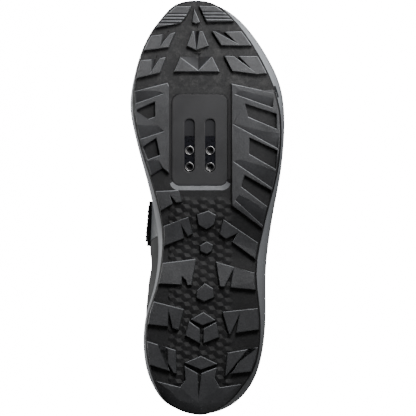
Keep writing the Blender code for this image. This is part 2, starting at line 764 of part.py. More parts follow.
def make_outsole():
    wraps = wrap_heights()

    def band(index, around):
        return band_inset(around)

    def face(index, around):
        return band_inset(around) + TREAD_CHAMFER

    def inside(index, around):
        return band_inset(around) + WRAP_WALL

    def wrap_top(index, x):
        return base_top(x) + wraps[index]

    rings = [
        ring(face, lambda index, x: base_bottom(x)),
        ring(band, lambda index, x: base_bottom(x) + TREAD_CHAMFER),
        ring(band, wrap_top),
        ring(inside, wrap_top),
        ring(inside, lambda index, x: base_top(x)),
    ]
    piece = add_object("outsole", loft(rings), RUBBER)
    blocks = [tread_block(block_corners(block)) for block in EDGE_BLOCKS]
    blocks.append(tread_block(block_corners(HEEL_BLOCK)))
    blocks += [tread_block([flat_corner(corner) for corner in block]) for block in MIDDLE_BLOCKS]
    boolean(piece, blocks, "UNION")
    window = rounded_rectangle(
        plate_centre(), PLATE_LENGTH + 2 * GAP, PLATE_WIDTH + 2 * GAP, PLATE_CORNER + GAP
    )
    cuts = [prism(window, [0.0] * len(window), [base_top(LENGTH)] * len(window))]
    for pocket in POCKETS:
        corners = [flat_corner(corner) for corner in pocket]
        cuts.append(
            prism(
                corners,
                [ground_clearance(corner.x) - LUG for corner in corners],
                [base_bottom(corner.x) for corner in corners],
            )
        )
    boolean(piece, cuts, "DIFFERENCE")
    return piece


# Midsole: the light foam body, with a rim that cups the upper


def make_midsole():
    wraps = wrap_heights()
    count = len(wraps)
    seats = [
        WRAP_WALL + GAP if max(wraps[index - 1], wraps[index], wraps[(index + 1) % count]) > 0 else 0.0
        for index in range(count)
    ]

    def seated(index, around):
        return band_inset(around) + seats[index]

    def start_height(index, x):
        return base_top(x) + GAP + wraps[index]

    def side_height(share):
        return lambda index, x: mix(start_height(index, x), lip_top(x), share)

    def flank_inset(share):
        return lambda index, around: band_inset(around) * share

    def level_inset(inset):
        return lambda index, around: inset

    rim_inside = level_inset(LIP_LEAN + LIP_WALL)
    rings = [
        ring(seated, lambda index, x: base_top(x) + GAP),
        ring(seated, start_height),
        *(ring(flank_inset(flank.inset), side_height(flank.height)) for flank in FLANKS),
        ring(level_inset(SIDE_STEP), side_height(STEP_START)),
        ring(level_inset(SIDE_STEP), side_height(STEP_END)),
        ring(level_inset(LIP_LEAN), side_height(1.0)),
        ring(rim_inside, side_height(1.0)),
        ring(rim_inside, lambda index, x: footbed(x)),
    ]
    piece = add_object("midsole", loft(rings), FOAM)
    room = rounded_rectangle(
        nut_centre(), NUT_LENGTH + 2 * GAP, NUT_WIDTH + 2 * GAP, PLATE_CORNER / 2
    )
    roof = base_top(nut_centre().x) + 2 * GAP + NUT_THICKNESS
    boolean(piece, [prism(room, [0.0] * len(room), [roof] * len(room))], "DIFFERENCE")
    return piece


# Cleat bed: a plate with two slots, and a steel nut plate that slides behind it


def plate_centre():
    return Vector((PLATE_STATION * LENGTH, PLATE_SIDE))


def nut_centre():
    return plate_centre() + Vector((NUT_SHIFT, 0.0))


def make_cleat_plate():
    outline = rounded_rectangle(plate_centre(), PLATE_LENGTH, PLATE_WIDTH, PLATE_CORNER)
    top = base_top(plate_centre().x)
    count = len(outline)
    builder = prism(outline, [top - PLATE_THICKNESS] * count, [top] * count)
    piece = add_object("cleat_plate", builder, PLATE_FINISH)
    slots = []
    for side in (-1, 1):
        centre = plate_centre() + Vector((SLOT_SHIFT, side * SLOT_SPACING / 2))
        slot = rounded_rectangle(centre, SLOT_LENGTH, SLOT_WIDTH, SLOT_WIDTH / 2 - GAP)
        slots.append(prism(slot, [0.0] * len(slot), [2 * top] * len(slot)))
    boolean(piece, slots, "DIFFERENCE")
    return piece


def circle(centre, diameter):
    """Points of a level circle."""
    angles = [2 * math.pi * step / CIRCLE_STEPS for step in range(CIRCLE_STEPS)]
    return [centre + Vector((math.cos(a), math.sin(a))) * diameter / 2 for a in angles]


def make_cleat_nut():
    bottom = base_top(plate_centre().x) + GAP
    outline = rounded_rectangle(nut_centre(), NUT_LENGTH, NUT_WIDTH, PLATE_CORNER / 2)
    count = len(outline)
    builder = prism(outline, [bottom] * count, [bottom + NUT_THICKNESS] * count)
    piece = add_object("cleat_nut", builder, STEEL)
    centres = [
        nut_centre() + Vector((along * NUT_PITCH / 2, across * SLOT_SPACING / 2))
        for along in (-1, 1)
        for across in (-1, 1)
    ]
    bosses = []
    threads = []
    for centre in centres:
        boss = circle(centre, BOSS_DIAMETER)
        low = [bottom - BOSS_HEIGHT] * len(boss)
        bosses.append(prism(boss, low, [bottom + NUT_THICKNESS / 2] * len(boss)))
        thread = circle(centre, THREAD_DIAMETER)
        threads.append(prism(thread, [0.0] * len(thread), [2 * bottom] * len(thread)))
    boolean(piece, bosses, "UNION")
    boolean(piece, threads, "DIFFERENCE")
    return piece


# Upper: one hollow wall around the foot, open at the collar, the throat and underneath


def upper_grid():
    """The upper's outer surface as rows from the midsole up to the free edge."""
    places = places_around()
    grid = []
    bottom = []
    for place in places:
        foot = wall(place, 0.0)
        bottom.append(Vector((foot.x, foot.y, footbed(foot.x) + GAP)))
    grid.append(bottom)
    for share in WALL_ROWS:
        grid.append([wall(place, share) for place in places])
    return grid


def make_upper():
    return add_object("upper", shell(upper_grid(), -UPPER_WALL, 0.0, closed=True), CLOTH)


def make_insole():
    def inside(index, around):
        return UPPER_INSET + UPPER_WALL + GAP

    rings = [
        ring(inside, lambda index, x: footbed(x) + GAP, places_around()),
        ring(inside, lambda index, x: footbed(x) + GAP + INSOLE, places_around()),
    ]
    return add_object("insole", loft(rings), LINING)


def key_places(start, end, steps_per_key=STEPS_PER_KEY):
    """Evenly spaced places from one to another, ends included."""
    steps = max(2, math.ceil((end - start) * steps_per_key))
    return [mix(start, end, step / steps) for step in range(steps + 1)]


# Tongue: a padded flap under the throat, tucked beneath the upper's edges


def make_tongue():
    places = key_places(INSTEP_KEY, TOE_KEY)
    grid = []
    for place in places:
        tuck = TUCK_AT_TOP + TUCK_MORE * smoothstep((place - INSTEP_KEY) / TUCK_RUN)
        down = (1 - tuck, 1 - tuck / 2)
        row = [wall(place, share) for share in (*down, 1.0)]
        row += [bridge(place, share) for share in BRIDGE_ROWS]
        row += [wall(KEYS_AROUND - place, share) for share in (1.0, *down[::-1])]
        grid.append(row)
    top_row = grid[0]
    for share in TONGUE_END_ROWS:
        narrow = 1 - TONGUE_NARROWING * share
        lift = TONGUE_LEAN * TONGUE_REACH * share
        grid.insert(0, [Vector((p.x, p.y * narrow, p.z)) + lift for p in top_row])
    seat = -(UPPER_WALL + TONGUE_CLEARANCE)
    return add_object("tongue", shell(grid, seat - TONGUE, seat), PADDING)


# Straps over the throat, and the loop that the instep strap turns back through


def strap_shares(outer, inner):
    """Places across the shoe from a strap's outer end to its inner end."""
    up = [share for share in WALL_ROWS if outer < share < 1]
    down = [share for share in WALL_ROWS if inner < share < 1]
    middle = [1 + share for share in (0.0, *BRIDGE_ROWS, 1.0)]
    return [outer, *up, *middle, *(3 - share for share in reversed(down)), 3 - inner]


def swept(profile, places):
    """A closed body: a profile of share across the shoe and height off it, drawn along places."""
    builder = bmesh.new()
    rows = []
    for place in places:
        rows.append([builder.verts.new(over_lifted(place, share, lift)) for share, lift in profile])
    for first, second in zip(rows, rows[1:]):
        for index in range(len(profile)):
            after = (index + 1) % len(profile)
            builder.faces.new((first[index], first[after], second[after], second[index]))
    builder.faces.new(rows[0])
    builder.faces.new(rows[-1][::-1])
    return builder


def flat_profile(shares, low, high):
    """A flat band's profile, from one height off the surface to another."""
    return [(share, low) for share in shares] + [(share, high) for share in reversed(shares)]


def make_strap(strap):
    profile = flat_profile(strap_shares(strap.outer, strap.inner), GAP, GAP + STRAP)
    return add_object(strap.name, swept(profile, key_places(strap.back, strap.front)), WEBBING)


BAR_LOW = GAP + STRAP + GAP
BAR_HIGH = BAR_LOW + LOOP_BAR


def make_instep_strap():
    """The instep strap goes under the loop's bar, round it and back up over itself."""
    strap = INSTEP_STRAP
    lower = strap_shares(strap.outer, LOOP_BAR_START)
    rows = [share for share in WALL_ROWS if LOOP_BAR_END < share < TURNED_END]
    turned = [3 - share for share in (LOOP_BAR_END, *rows, TURNED_END)]
    turn = 3 - strap.inner
    over_bar = BAR_HIGH + GAP
    profile = [(share, GAP) for share in lower]
    profile += [(turn, GAP + STRAP / 2), (turn, over_bar + STRAP / 2)]
    profile.append((3 - LOOP_BAR_START, over_bar + STRAP))
    profile += [(share, over_bar + STRAP) for share in turned]
    profile += [(share, over_bar) for share in reversed(turned)]
    inside_turn = 3 - mix(strap.inner, LOOP_BAR_START, TURN_INSIDE)
    profile += [(inside_turn, over_bar), (inside_turn, GAP + STRAP)]
    profile += [(share, GAP + STRAP) for share in reversed(lower[:-1])]
    return add_object(strap.name, swept(profile, key_places(strap.back, strap.front)), WEBBING)


def make_strap_loop():
    """The moulded loop: a foot on the upper, two posts and the bar."""
    strap = INSTEP_STRAP
    width = (over(strap.front, 2.5) - over(strap.back, 2.5)).length
    place_length = width / (strap.front - strap.back)
    clear = GAP / place_length
    post = LOOP_POST / place_length
    back, front = strap.back - clear, strap.front + clear
    foot = [3 - LOOP_OPENING, 3 - LOOP_FOOT]
    in_foot = (LOOP_FOOT + LOOP_OPENING) / 2
    rise = [3 - LOOP_BAR_END, 3 - LOOP_BAR_START, 3 - LOOP_OPENING, 3 - in_foot]
    bar = [3 - LOOP_BAR_END, 3 - LOOP_BAR_START]
    tall = flat_profile(rise, GAP, BAR_HIGH)
    overlap = post / 2
    loop = swept(flat_profile(foot, GAP, BAR_HIGH), key_places(back - post, front + post))
    piece = add_object("strap_loop", loop, MOULDED)
    parts = [
        swept(tall, [back - post, back]),
        swept(tall, [front, front + post]),
        swept(flat_profile(bar, BAR_LOW, BAR_HIGH), key_places(back - overlap, front + overlap)),
    ]
    for part in parts:
        boolean(piece, [part], "UNION")
    return piece


# Overlays: the toe cap and the heel counter, laid on the upper


def make_overlay(overlay):
    places = key_places(overlay.start, overlay.end)
    grid = [[wall(place, share) for place in places] for share in overlay.shares]
    return add_object(overlay.name, shell(grid, GAP, GAP + OVERLAY), PANEL)


# Rolling the finished shoe onto its outer side


def body_moment(piece):
    """Volume and volume-weighted centre of a closed mesh."""
    builder = bmesh.new()
    builder.from_mesh(piece.data)
    bmesh.ops.triangulate(builder, faces=builder.faces)
    volume = 0.0
    moment = Vector((0.0, 0.0, 0.0))
    for face in builder.faces:
        a, b, c = (vert.co for vert in face.verts)
        part = a.dot(b.cross(c)) / 6
        volume += part
        moment += (a + b + c) / 4 * part
    builder.free()
    return volume, moment


def centre_of_mass(pieces):
    """Where the shoe balances."""
    mass = 0.0
    moment = Vector((0.0, 0.0, 0.0))
    for piece in pieces:
        density = DENSITY.get(piece.name, CLOTH_DENSITY)
        volume, part = body_moment(piece)
        mass += volume * density
        moment += part * density
    return moment / mass


def resting_plane(pieces):
    """The outward normal of the hull face that the shoe settles on, outer side down."""
    hull = bmesh.new()
    for piece in pieces:
        hull.from_mesh(piece.data)
    faces = list(hull.faces)
    bmesh.ops.delete(hull, geom=faces, context="FACES_ONLY")
    found = bmesh.ops.convex_hull(hull, input=hull.verts)
    loose = [item for item in found["geom_interior"] if isinstance(item, bmesh.types.BMVert)]
    bmesh.ops.delete(hull, geom=loose, context="VERTS")
    bmesh.ops.recalc_face_normals(hull, faces=hull.faces)
    tree = BVHTree.FromBMesh(hull)
    centre = centre_of_mass(pieces)
    down = Vector((0.0, 1.0, 0.0))
    for _ in range(ROLLS):
        _, normal, _, _ = tree.ray_cast(centre, down)
        if normal.dot(down) < 0:
            normal.negate()
        if normal.angle(down) < MERGE:
            break
        down = normal.copy()
    hull.free()
    return down


def lay_down(pieces):
    """Parents the pieces to one empty, which rolls them onto the floor."""
    down = resting_plane(pieces)
    forward = Vector((1.0, 0.0, 0.0))
    forward = (forward - down * forward.dot(down)).normalized()
    up = -down
    turn = Matrix((forward, up.cross(forward), up))
    corners = [turn @ vert.co for piece in pieces for vert in piece.data.vertices]
    lows = [min(corner[axis] for corner in corners) for axis in range(3)]
    highs = [max(corner[axis] for corner in corners) for axis in range(3)]
    origin = Vector(((lows[0] + highs[0]) / 2, (lows[1] + highs[1]) / 2, lows[2]))
    holder = bpy.data.objects.new("shoe", None)
    bpy.context.scene.collection.objects.link(holder)
    holder.matrix_world = Matrix.Translation(-origin) @ turn.to_4x4()
    for piece in pieces:
        piece.parent = holder
    bpy.context.view_layer.update()


def build():
    for existing in list(bpy.data.objects):
        bpy.data.objects.remove(existing)
    pieces = [
        make_outsole(),
        make_midsole(),
        make_cleat_plate(),
        make_cleat_nut(),
        make_upper(),
        make_insole(),
        make_tongue(),
        make_instep_strap(),
        make_strap_loop(),
    ]
    pieces += [make_strap(strap) for strap in STRAPS]
    pieces += [make_overlay(overlay) for overlay in OVERLAYS]
    lay_down(pieces)


build()
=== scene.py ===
"""The looks of a left mountain-touring cycling shoe that lies on its outer side, sole to the camera.

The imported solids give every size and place. Each section below dresses one piece, or one group of
like pieces. It works in the shoe's own frame, in metres: x runs from the heel to the toe, y to the
outer side, and z up from the ground that the tread would stand on.
"""

import json
import math

import bmesh
import bpy
from mathutils import Matrix, Vector
from mathutils.bvhtree import BVHTree


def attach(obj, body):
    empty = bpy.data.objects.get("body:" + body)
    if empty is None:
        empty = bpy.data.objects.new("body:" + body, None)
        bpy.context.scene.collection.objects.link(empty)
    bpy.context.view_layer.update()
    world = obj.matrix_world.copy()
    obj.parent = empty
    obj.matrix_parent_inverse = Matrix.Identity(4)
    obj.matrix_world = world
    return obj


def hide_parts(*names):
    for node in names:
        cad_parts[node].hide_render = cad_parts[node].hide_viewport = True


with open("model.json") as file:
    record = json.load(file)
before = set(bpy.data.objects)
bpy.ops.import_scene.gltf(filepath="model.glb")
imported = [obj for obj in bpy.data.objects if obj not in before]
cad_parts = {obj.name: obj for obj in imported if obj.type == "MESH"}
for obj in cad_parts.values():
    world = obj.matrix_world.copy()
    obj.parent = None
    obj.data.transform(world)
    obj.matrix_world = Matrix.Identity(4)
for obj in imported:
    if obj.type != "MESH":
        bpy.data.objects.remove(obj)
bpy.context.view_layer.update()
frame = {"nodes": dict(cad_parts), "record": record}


# Outsole
# The black rubber tread is moulded in one piece: a thin base that climbs the sides at the toe and
# the heel, with blocks on it. The blocks' edges are rounded off, valleys, ribs and sunk facets are
# cut into them, and the base between them carries a field of small cast facets.

SHOE_LENGTH = 0.282
BLOCK_HEIGHT = 0.0045
TOE_SPRING = 0.0160
SPRING_START = 0.68
HEEL_ROLL = 0.0030
HEEL_FLAT = 0.09
WAIST_LIFT = 0.0025
WAIST = (0.30, 0.50)
BED_POINT = Vector((0.1867, -0.0036, 0.0055))
MM = 0.001
# How near points are merged, how near a cut passes a point, and how far cutters stand out
MERGE = 0.01 * MM
CUT_NEAR = 0.001 * MM
BEYOND = 2 * MM
ALONG = Vector((1.0, 0.0, 0.0))
UP = Vector((0.0, 0.0, 1.0))

bed = next(mount for mount in frame["record"]["mounts"] if mount["name"] == "cleat_bed")
sole_up = -Vector(bed["axis"]).normalized()
toe_way = Vector((-sole_up.z, 0.0, sole_up.x)).normalized()
outer_way = sole_up.cross(toe_way)
turned = Matrix((toe_way, outer_way, sole_up)).transposed()
to_world = turned.to_4x4()
to_world.translation = Vector(bed["pos_m"]) - turned @ BED_POINT
to_shoe = to_world.inverted()


def toe_lift(x):
    """How far the sole curls up from the ground toward the toe."""
    spring = max(0.0, (x / SHOE_LENGTH - SPRING_START) / (1 - SPRING_START))
    return TOE_SPRING * spring * spring


def ground_gap(x):
    """Height of the blocks' faces over the ground: toe spring, lifted waist and rolled heel."""
    station = x / SHOE_LENGTH
    heel = max(0.0, (HEEL_FLAT - station) / HEEL_FLAT)
    waist = min(max((station - WAIST[0]) / (WAIST[1] - WAIST[0]), 0.0), 1.0)
    lift = WAIST_LIFT * math.sin(math.pi * waist) ** 2
    return toe_lift(x) + HEEL_ROLL * heel * heel + lift


def on_tread(x_mm, y_mm, depth=0.0):
    """A point given in millimetres, this deep under the blocks' faces."""
    x = x_mm * MM
    return Vector((x, y_mm * MM, ground_gap(x) + depth))


def copied(node):
    """A merged copy of a CAD node as a bmesh in the shoe's own frame."""
    builder = bmesh.new()
    builder.from_mesh(frame["nodes"][node].data)
    builder.transform(to_shoe)
    bmesh.ops.remove_doubles(builder, verts=builder.verts, dist=MERGE)
    return builder


def as_object(builder, name):
    """A bmesh as an object of its own. The bmesh is used up."""
    mesh = bpy.data.meshes.new(name)
    builder.to_mesh(mesh)
    builder.free()
    made = bpy.data.objects.new(name, mesh)
    bpy.context.scene.collection.objects.link(made)
    return made


def evaluated(scratch):
    """The bmesh of a scratch object with its modifiers applied. The object is removed."""
    ready = scratch.evaluated_get(bpy.context.evaluated_depsgraph_get())
    builder = bmesh.new()
    builder.from_mesh(ready.to_mesh())
    ready.to_mesh_clear()
    bpy.data.objects.remove(scratch)
    return builder


def hull(points):
    """A closed convex body around a few points."""
    builder = bmesh.new()
    for point in points:
        builder.verts.new(point)
    bmesh.ops.convex_hull(builder, input=builder.verts)
    bmesh.ops.recalc_face_normals(builder, faces=builder.faces)
    return builder


def added(whole, part):
    """One bmesh with another's faces added to it."""
    mesh = bpy.data.meshes.new("part")
    part.to_mesh(mesh)
    part.free()
    whole.from_mesh(mesh)
    bpy.data.meshes.remove(mesh)
    return whole


def combined(builder, tools, operation):
    """The body with the tools cut from it, or joined to it."""
    whole = bmesh.new()
    for tool in tools:
        added(whole, tool)
    cutter = as_object(whole, "cutter")
    scratch = as_object(builder, "scratch")
    modifier = scratch.modifiers.new("combined", "BOOLEAN")
    modifier.operation = operation
    modifier.solver = "EXACT"
    modifier.object = cutter
    result = evaluated(scratch)
    bpy.data.objects.remove(cutter)
    bmesh.ops.remove_doubles(result, verts=result.verts, dist=MERGE)
    return result


def valley(left, right, tip, foot):
    """A cutter for a V that opens past a block's end and rises to nothing at its tip."""
    tip = on_tread(*tip)
    outline = [tip]
    for corner in (left, right):
        outline.append(tip + (on_tread(*corner) - tip) * VALLEY_PAST)
    bottom = tip + (on_tread(*foot, BLOCK_HEIGHT) - tip) * VALLEY_PAST
    lifted = [point - UP * BEYOND for point in outline]
    return hull([*outline, *lifted, bottom])


def fin(start, tip, foot):
    """A wedge that fills one side of a notch, from a ridge at the block's face to its foot."""
    ridge = [on_tread(*start), on_tread(*tip)]
    roots = [on_tread(*corner, BLOCK_HEIGHT + MM) for corner in (start, tip, foot)]
    return hull([*ridge, *roots])


def sunk_facet(toe_edge, heel_edge, depth):
    """A cutter for a face that slopes from nothing at its toe edge to its depth at the other."""
    high = [on_tread(*corner, 0.02 * MM) for corner in toe_edge]
    far = [on_tread(*corner, depth) for corner in heel_edge]
    low = (far[0] + far[1]) / 2
    normal = (high[1] - high[0]).cross(low - high[0]).normalized()
    if normal.z < 0:
        normal.negate()
    bottom = high + [point - normal * normal.dot(point - low) for point in far]
    return hull(bottom + [point - UP * (depth + BEYOND) for point in bottom])


def groove(start, end, width, depth):
    """A cutter for a straight V groove across a block."""
    along = Vector((end[0] - start[0], end[1] - start[1])).normalized()
    side = Vector((-along.y, along.x)) * width / MM / 2
    spread = 1 + BEYOND / depth
    points = []
    for corner in (start, end):
        points.append(on_tread(*corner, depth))
        for way in (-1, 1):
            wide = Vector(corner) + side * way * spread
            points.append(on_tread(*wide, -BEYOND))
    return hull(points)


def round_outline(centre, length, width, corner, height, steps=6):
    """Points of a level rectangle with round corners, at one height under the faces."""
    points = []
    for turn, along, across in ((0, 1, 1), (1, -1, 1), (2, -1, -1), (3, 1, -1)):
        middle_x = centre[0] + along * (length / 2 - corner)
        middle_y = centre[1] + across * (width / 2 - corner)
        for step in range(steps + 1):
            angle = math.pi / 2 * (turn + step / steps)
            x = middle_x + math.cos(angle) * corner
            points.append(on_tread(x, middle_y + math.sin(angle) * corner, height))
    return points


# Places on the tread are in millimetres from the heel tip and the centre line. Valleys as two
# corners, the tip and the foot of the deepest line
VALLEY_PAST = 1.25
VALLEYS = (
    ((242.6, -16.9), (243.0, 4.9), (233.6, -4.6), (243.2, -4.5)),
    ((261.2, -7.8), (261.2, -3.6), (247.2, -5.8), (261.4, -5.4)),
    ((258.3, -29.2), (258.6, -25.0), (250.2, -30.2), (258.8, -25.6)),
    ((241.3, -36.6), (241.7, -32.6), (233.4, -36.1), (241.8, -33.2)),
)
# Fins as the ridge's start, its tip and the foot
FINS = (
    ((260.7, 4.6), (251.2, 21.6), (261.4, 10.6)),
    ((243.8, 13.0), (233.2, 31.8), (244.4, 19.6)),
)
# Sunk facets beside the cleat bed as their toe edges and heel edges
SUNK_FACETS = (
    (((220.6, 23.4), (216.5, 46.6)), ((217.6, 20.4), (208.3, 45.6))),
    (((200.9, 27.1), (191.2, 50.2)), ((197.2, 19.3), (180.8, 49.2))),
    (((174.8, 27.9), (164.0, 49.2)), ((171.8, 19.7), (153.5, 46.0))),
    (((149.6, 23.3), (138.0, 42.4)), ((145.8, 20.6), (128.0, 39.6))),
    (((219.6, -47.0), (220.2, -33.5)), ((211.2, -46.6), (218.0, -28.6))),
    (((197.0, -46.0), (199.4, -34.5)), ((187.2, -43.5), (192.3, -28.2))),
    (((171.8, -38.8), (173.3, -31.6)), ((162.6, -36.0), (167.3, -28.6))),
)
FACET_DEPTH = 1.7 * MM
TOE_RIBS = (
    *(((272.4 - 2.1 * rib, -10.2 - 1.3 * rib), (272.4 - 2.1 * rib, -34.0)) for rib in range(4)),
    *(((273.6 - 2.2 * rib, -4.6 + 1.5 * rib), (273.6 - 2.2 * rib, 22.0)) for rib in range(4)),
)
RIB_WIDTH = 1.1 * MM
RIB_DEPTH = 0.8 * MM

# The rolled heel as one sloping cut for each way that it faces, in degrees
HEEL_CUTS = (-38, -14, 14, 38)
HEEL_BEVEL_START = 7.6 * MM
HEEL_CENTRE = Vector((0.036, -0.003))
HEEL_BEVEL_SLOPE = 0.62
HEEL_CUT_HALF = 30 * MM
HEEL_CUT_LENGTH = 20 * MM
HEEL_CUT_UNDER = 10 * MM


def heel_cut(angle):
    """A cutter for the slope at the back of the heel that faces this way."""
    turn = Matrix.Rotation(math.radians(180 + angle), 2)
    outward = turn @ ALONG.xy
    across = Vector((-outward.y, outward.x))
    start = HEEL_CENTRE + outward * (HEEL_CENTRE.x - HEEL_BEVEL_START)
    low = ground_gap(start.x)
    points = []
    for side in (-1, 1):
        near = start + across * side * HEEL_CUT_HALF
        far = near + outward * HEEL_CUT_LENGTH
        points.append(Vector((*near, low)))
        points.append(Vector((*near, low - HEEL_CUT_UNDER)))
        points.append(Vector((*far, low - HEEL_CUT_UNDER)))
        points.append(Vector((*far, low + HEEL_CUT_LENGTH * HEEL_BEVEL_SLOPE)))
    return hull(points)


# The funnel round the cleat bed at its mouth and its bottom: centre, length, width, corner radius
# and depth under the tread's base, in millimetres
BED_FUNNEL = (
    ((191.0, -3.2), 77.2, 41.6, 6.0, -0.05),
    ((186.7, -3.6), 61.9, 37.9, 5.6, 1.1),
)

tread = copied("outsole")
tread = combined(tread, [fin(*row) for row in FINS], "UNION")
cuts = [valley(*row) for row in VALLEYS]
cuts += [sunk_facet(*row, FACET_DEPTH) for row in SUNK_FACETS]
cuts += [groove(*row, RIB_WIDTH, RIB_DEPTH) for row in TOE_RIBS]
cuts.append(hull([
    point
    for *outline, below in BED_FUNNEL
    for point in round_outline(*outline, BLOCK_HEIGHT + below * MM)
]))
tread = combined(tread, cuts, "DIFFERENCE")
for angle in HEEL_CUTS:
    tread = combined(tread, [heel_cut(angle)], "DIFFERENCE")


def joined_flats(builder, angle):
    """The body with its nearly level neighbouring faces joined into one."""
    bmesh.ops.dissolve_limit(
        builder, angle_limit=math.radians(angle), verts=builder.verts, edges=builder.edges
    )
    return builder


def on_block_face(face):
    """Whether a face is the flat top of a tread block."""
    middle = face.calc_center_median()
    return face.normal.z < -BLOCK_LEVEL and middle.z < ground_gap(middle.x) + BLOCK_DROP


# How level a block's face is and how deep it may lie, its rounding, the turn in degrees that is
# rounded, and the least area of a face that is shaded flat
BLOCK_LEVEL = 0.9
BLOCK_DROP = 1.2 * MM
BLOCK_ROUND = 0.38 * MM
BLOCK_TURN = 25
FLAT_LEAST = 1.5 * MM * MM
joined_flats(tread, 0.6)
rounded_layer = tread.faces.layers.int.new("rounded")
rims = [
    edge
    for edge in tread.edges
    if len(edge.link_faces) == 2
    and any(on_block_face(face) for face in edge.link_faces)
    and edge.calc_face_angle() > math.radians(BLOCK_TURN)
    and edge.is_convex
]
rounding = bmesh.ops.bevel(
    tread, geom=rims, offset=BLOCK_ROUND, segments=2, profile=0.5, affect="EDGES",
    clamp_overlap=False, material=-1,
)
for face in rounding["faces"]:
    face[rounded_layer] = 1

# The cast facets: a skew lattice with its points raised to a few heights
CELL_LONG = 5.5 * MM
CELL_WIDE = 3.7 * MM
FACET_FIELD = ((20.0, 148.0), (-25.0, 19.0))
FACET_HEIGHTS = ((0.0, 0.7, 0.25), (0.55, 0.05, 0.9), (1.0, 0.35, 0.15))
FACET_RELIEF = 1.05 * MM
FIELD_EDGE = 1.5 * MM


def facet_height(x, y):
    """How far the cast facets stand off the base at a point."""
    first, second = x / CELL_LONG + y / CELL_WIDE, x / CELL_LONG - y / CELL_WIDE
    row, column = math.floor(first), math.floor(second)
    along, across = first - row, second - column

    def corner(a, b):
        return FACET_HEIGHTS[(row + a) % 3][(column + b) % 3]

    if along + across <= 1:
        start = corner(0, 0)
        return start + (corner(1, 0) - start) * along + (corner(0, 1) - start) * across
    start = corner(1, 1)
    return start + (corner(0, 1) - start) * (1 - along) + (corner(1, 0) - start) * (1 - across)


def in_field(point):
    """Whether a point lies inside the field of facets, seen from below."""
    (x_start, x_end), (y_start, y_end) = FACET_FIELD
    along = x_start * MM <= point.x <= x_end * MM
    return along and y_start * MM <= point.y <= y_end * MM


def on_base(face):
    """Whether a face is the tread's base between the blocks, inside the field of facets."""
    middle = face.calc_center_median()
    off = abs(middle.z - ground_gap(middle.x) - BLOCK_HEIGHT)
    return face.normal.z < -0.97 and off < 0.25 * MM and in_field(middle)


def cut_faces(builder, faces, point, normal):
    """Cuts some of a body's faces along a plane."""
    around = dict.fromkeys(edge for face in faces for edge in face.edges)
    corners = dict.fromkeys(vert for face in faces for vert in face.verts)
    bmesh.ops.bisect_plane(
        builder, geom=[*faces, *around, *corners], dist=CUT_NEAR, plane_co=point, plane_no=normal
    )


def cut_base(builder, point, normal, everywhere=False):
    """Cuts the base's faces along an upright plane."""
    faces = [face for face in builder.faces if everywhere or on_base(face)]
    cut_faces(builder, faces, point, normal)


(field_start, field_end), (field_inner, field_outer) = FACET_FIELD
for x in (field_start, field_end):
    cut_base(tread, ALONG * x * MM, ALONG, everywhere=True)
for y in (field_inner, field_outer):
    cut_base(tread, Vector((0.0, y * MM, 0.0)), Vector((0.0, 1.0, 0.0)), everywhere=True)
reach = max(abs(field_inner), abs(field_outer)) * MM / CELL_WIDE
first_line = math.floor(field_start * MM / CELL_LONG - reach)
last_line = math.ceil(field_end * MM / CELL_LONG + reach)
for line in range(first_line, last_line + 1):
    for way in (-1, 1):
        across_cells = Vector((1 / CELL_LONG, way / CELL_WIDE, 0.0)).normalized()
        cut_base(tread, ALONG * line * CELL_LONG, across_cells)
half_cell = CELL_LONG / 2
for line in range(round(field_start * MM / half_cell), round(field_end * MM / half_cell) + 1):
    cut_base(tread, ALONG * line * half_cell, ALONG)
raised = {vert for face in tread.faces if on_base(face) for vert in face.verts}
for vert in raised:
    inside = min(
        vert.co.x - field_start * MM, field_end * MM - vert.co.x,
        vert.co.y - field_inner * MM, field_outer * MM - vert.co.y,
    )
    share = min(max(inside / FIELD_EDGE, 0.0), 1.0)
    vert.co.z -= facet_height(vert.co.x, vert.co.y) * FACET_RELIEF * share
bmesh.ops.triangulate(tread, faces=tread.faces)


def is_cast(face):
    """Whether a face is a block's flat face or one of the cast facets, which meet in ridges."""
    if on_block_face(face) and face.calc_area() > FLAT_LEAST:
        return True
    middle = face.calc_center_median()
    under = middle.z - ground_gap(middle.x) - BLOCK_HEIGHT
    at_height = -FACET_RELIEF - 0.1 * MM < under < 0.2 * MM
    return face.normal.z < -0.6 and at_height and in_field(middle)


def shoe_coordinates(tree):
    """Object coordinates turned into the shoe's own frame."""
    source = tree.nodes.new("ShaderNodeTexCoord")
    turn = tree.nodes.new("ShaderNodeMapping")
    turn.inputs["Rotation"].default_value = to_shoe.to_euler()
    turn.inputs["Location"].default_value = to_shoe.translation
    tree.links.new(source.outputs["Object"], turn.inputs["Vector"])
    return turn.outputs["Vector"]


def made_group(name, inputs, outputs):
    """An empty node group with named float, colour or vector sockets."""
    group = bpy.data.node_groups.new(name, "ShaderNodeTree")
    for socket, kind, value in inputs:
        made = group.interface.new_socket(name=socket, in_out="INPUT", socket_type=kind)
        if value is not None:
            made.default_value = value
    for socket, kind in outputs:
        group.interface.new_socket(name=socket, in_out="OUTPUT", socket_type=kind)
    return group, group.nodes.new("NodeGroupInput"), group.nodes.new("NodeGroupOutput")


def math_node(tree, operation, first, second=None):
    """A math node fed by sockets or plain numbers, and its result."""
    node = tree.nodes.new("ShaderNodeMath")
    node.operation = operation
    for index, value in enumerate((first, second)):
        if isinstance(value, bpy.types.NodeSocket):
            tree.links.new(value, node.inputs[index])
        elif value is not None:
            node.inputs[index].default_value = value
    return node.outputs["Value"]


def noise_node(tree, vector, scale, detail=3.0, roughness=0.5):
    """A noise value over a vector."""
    node = tree.nodes.new("ShaderNodeTexNoise")
    tree.links.new(vector, node.inputs["Vector"])
    if isinstance(scale, bpy.types.NodeSocket):
        tree.links.new(scale, node.inputs["Scale"])
    else:
        node.inputs["Scale"].default_value = scale
    node.inputs["Detail"].default_value = detail
    node.inputs["Roughness"].default_value = roughness
    return node.outputs["Fac"]


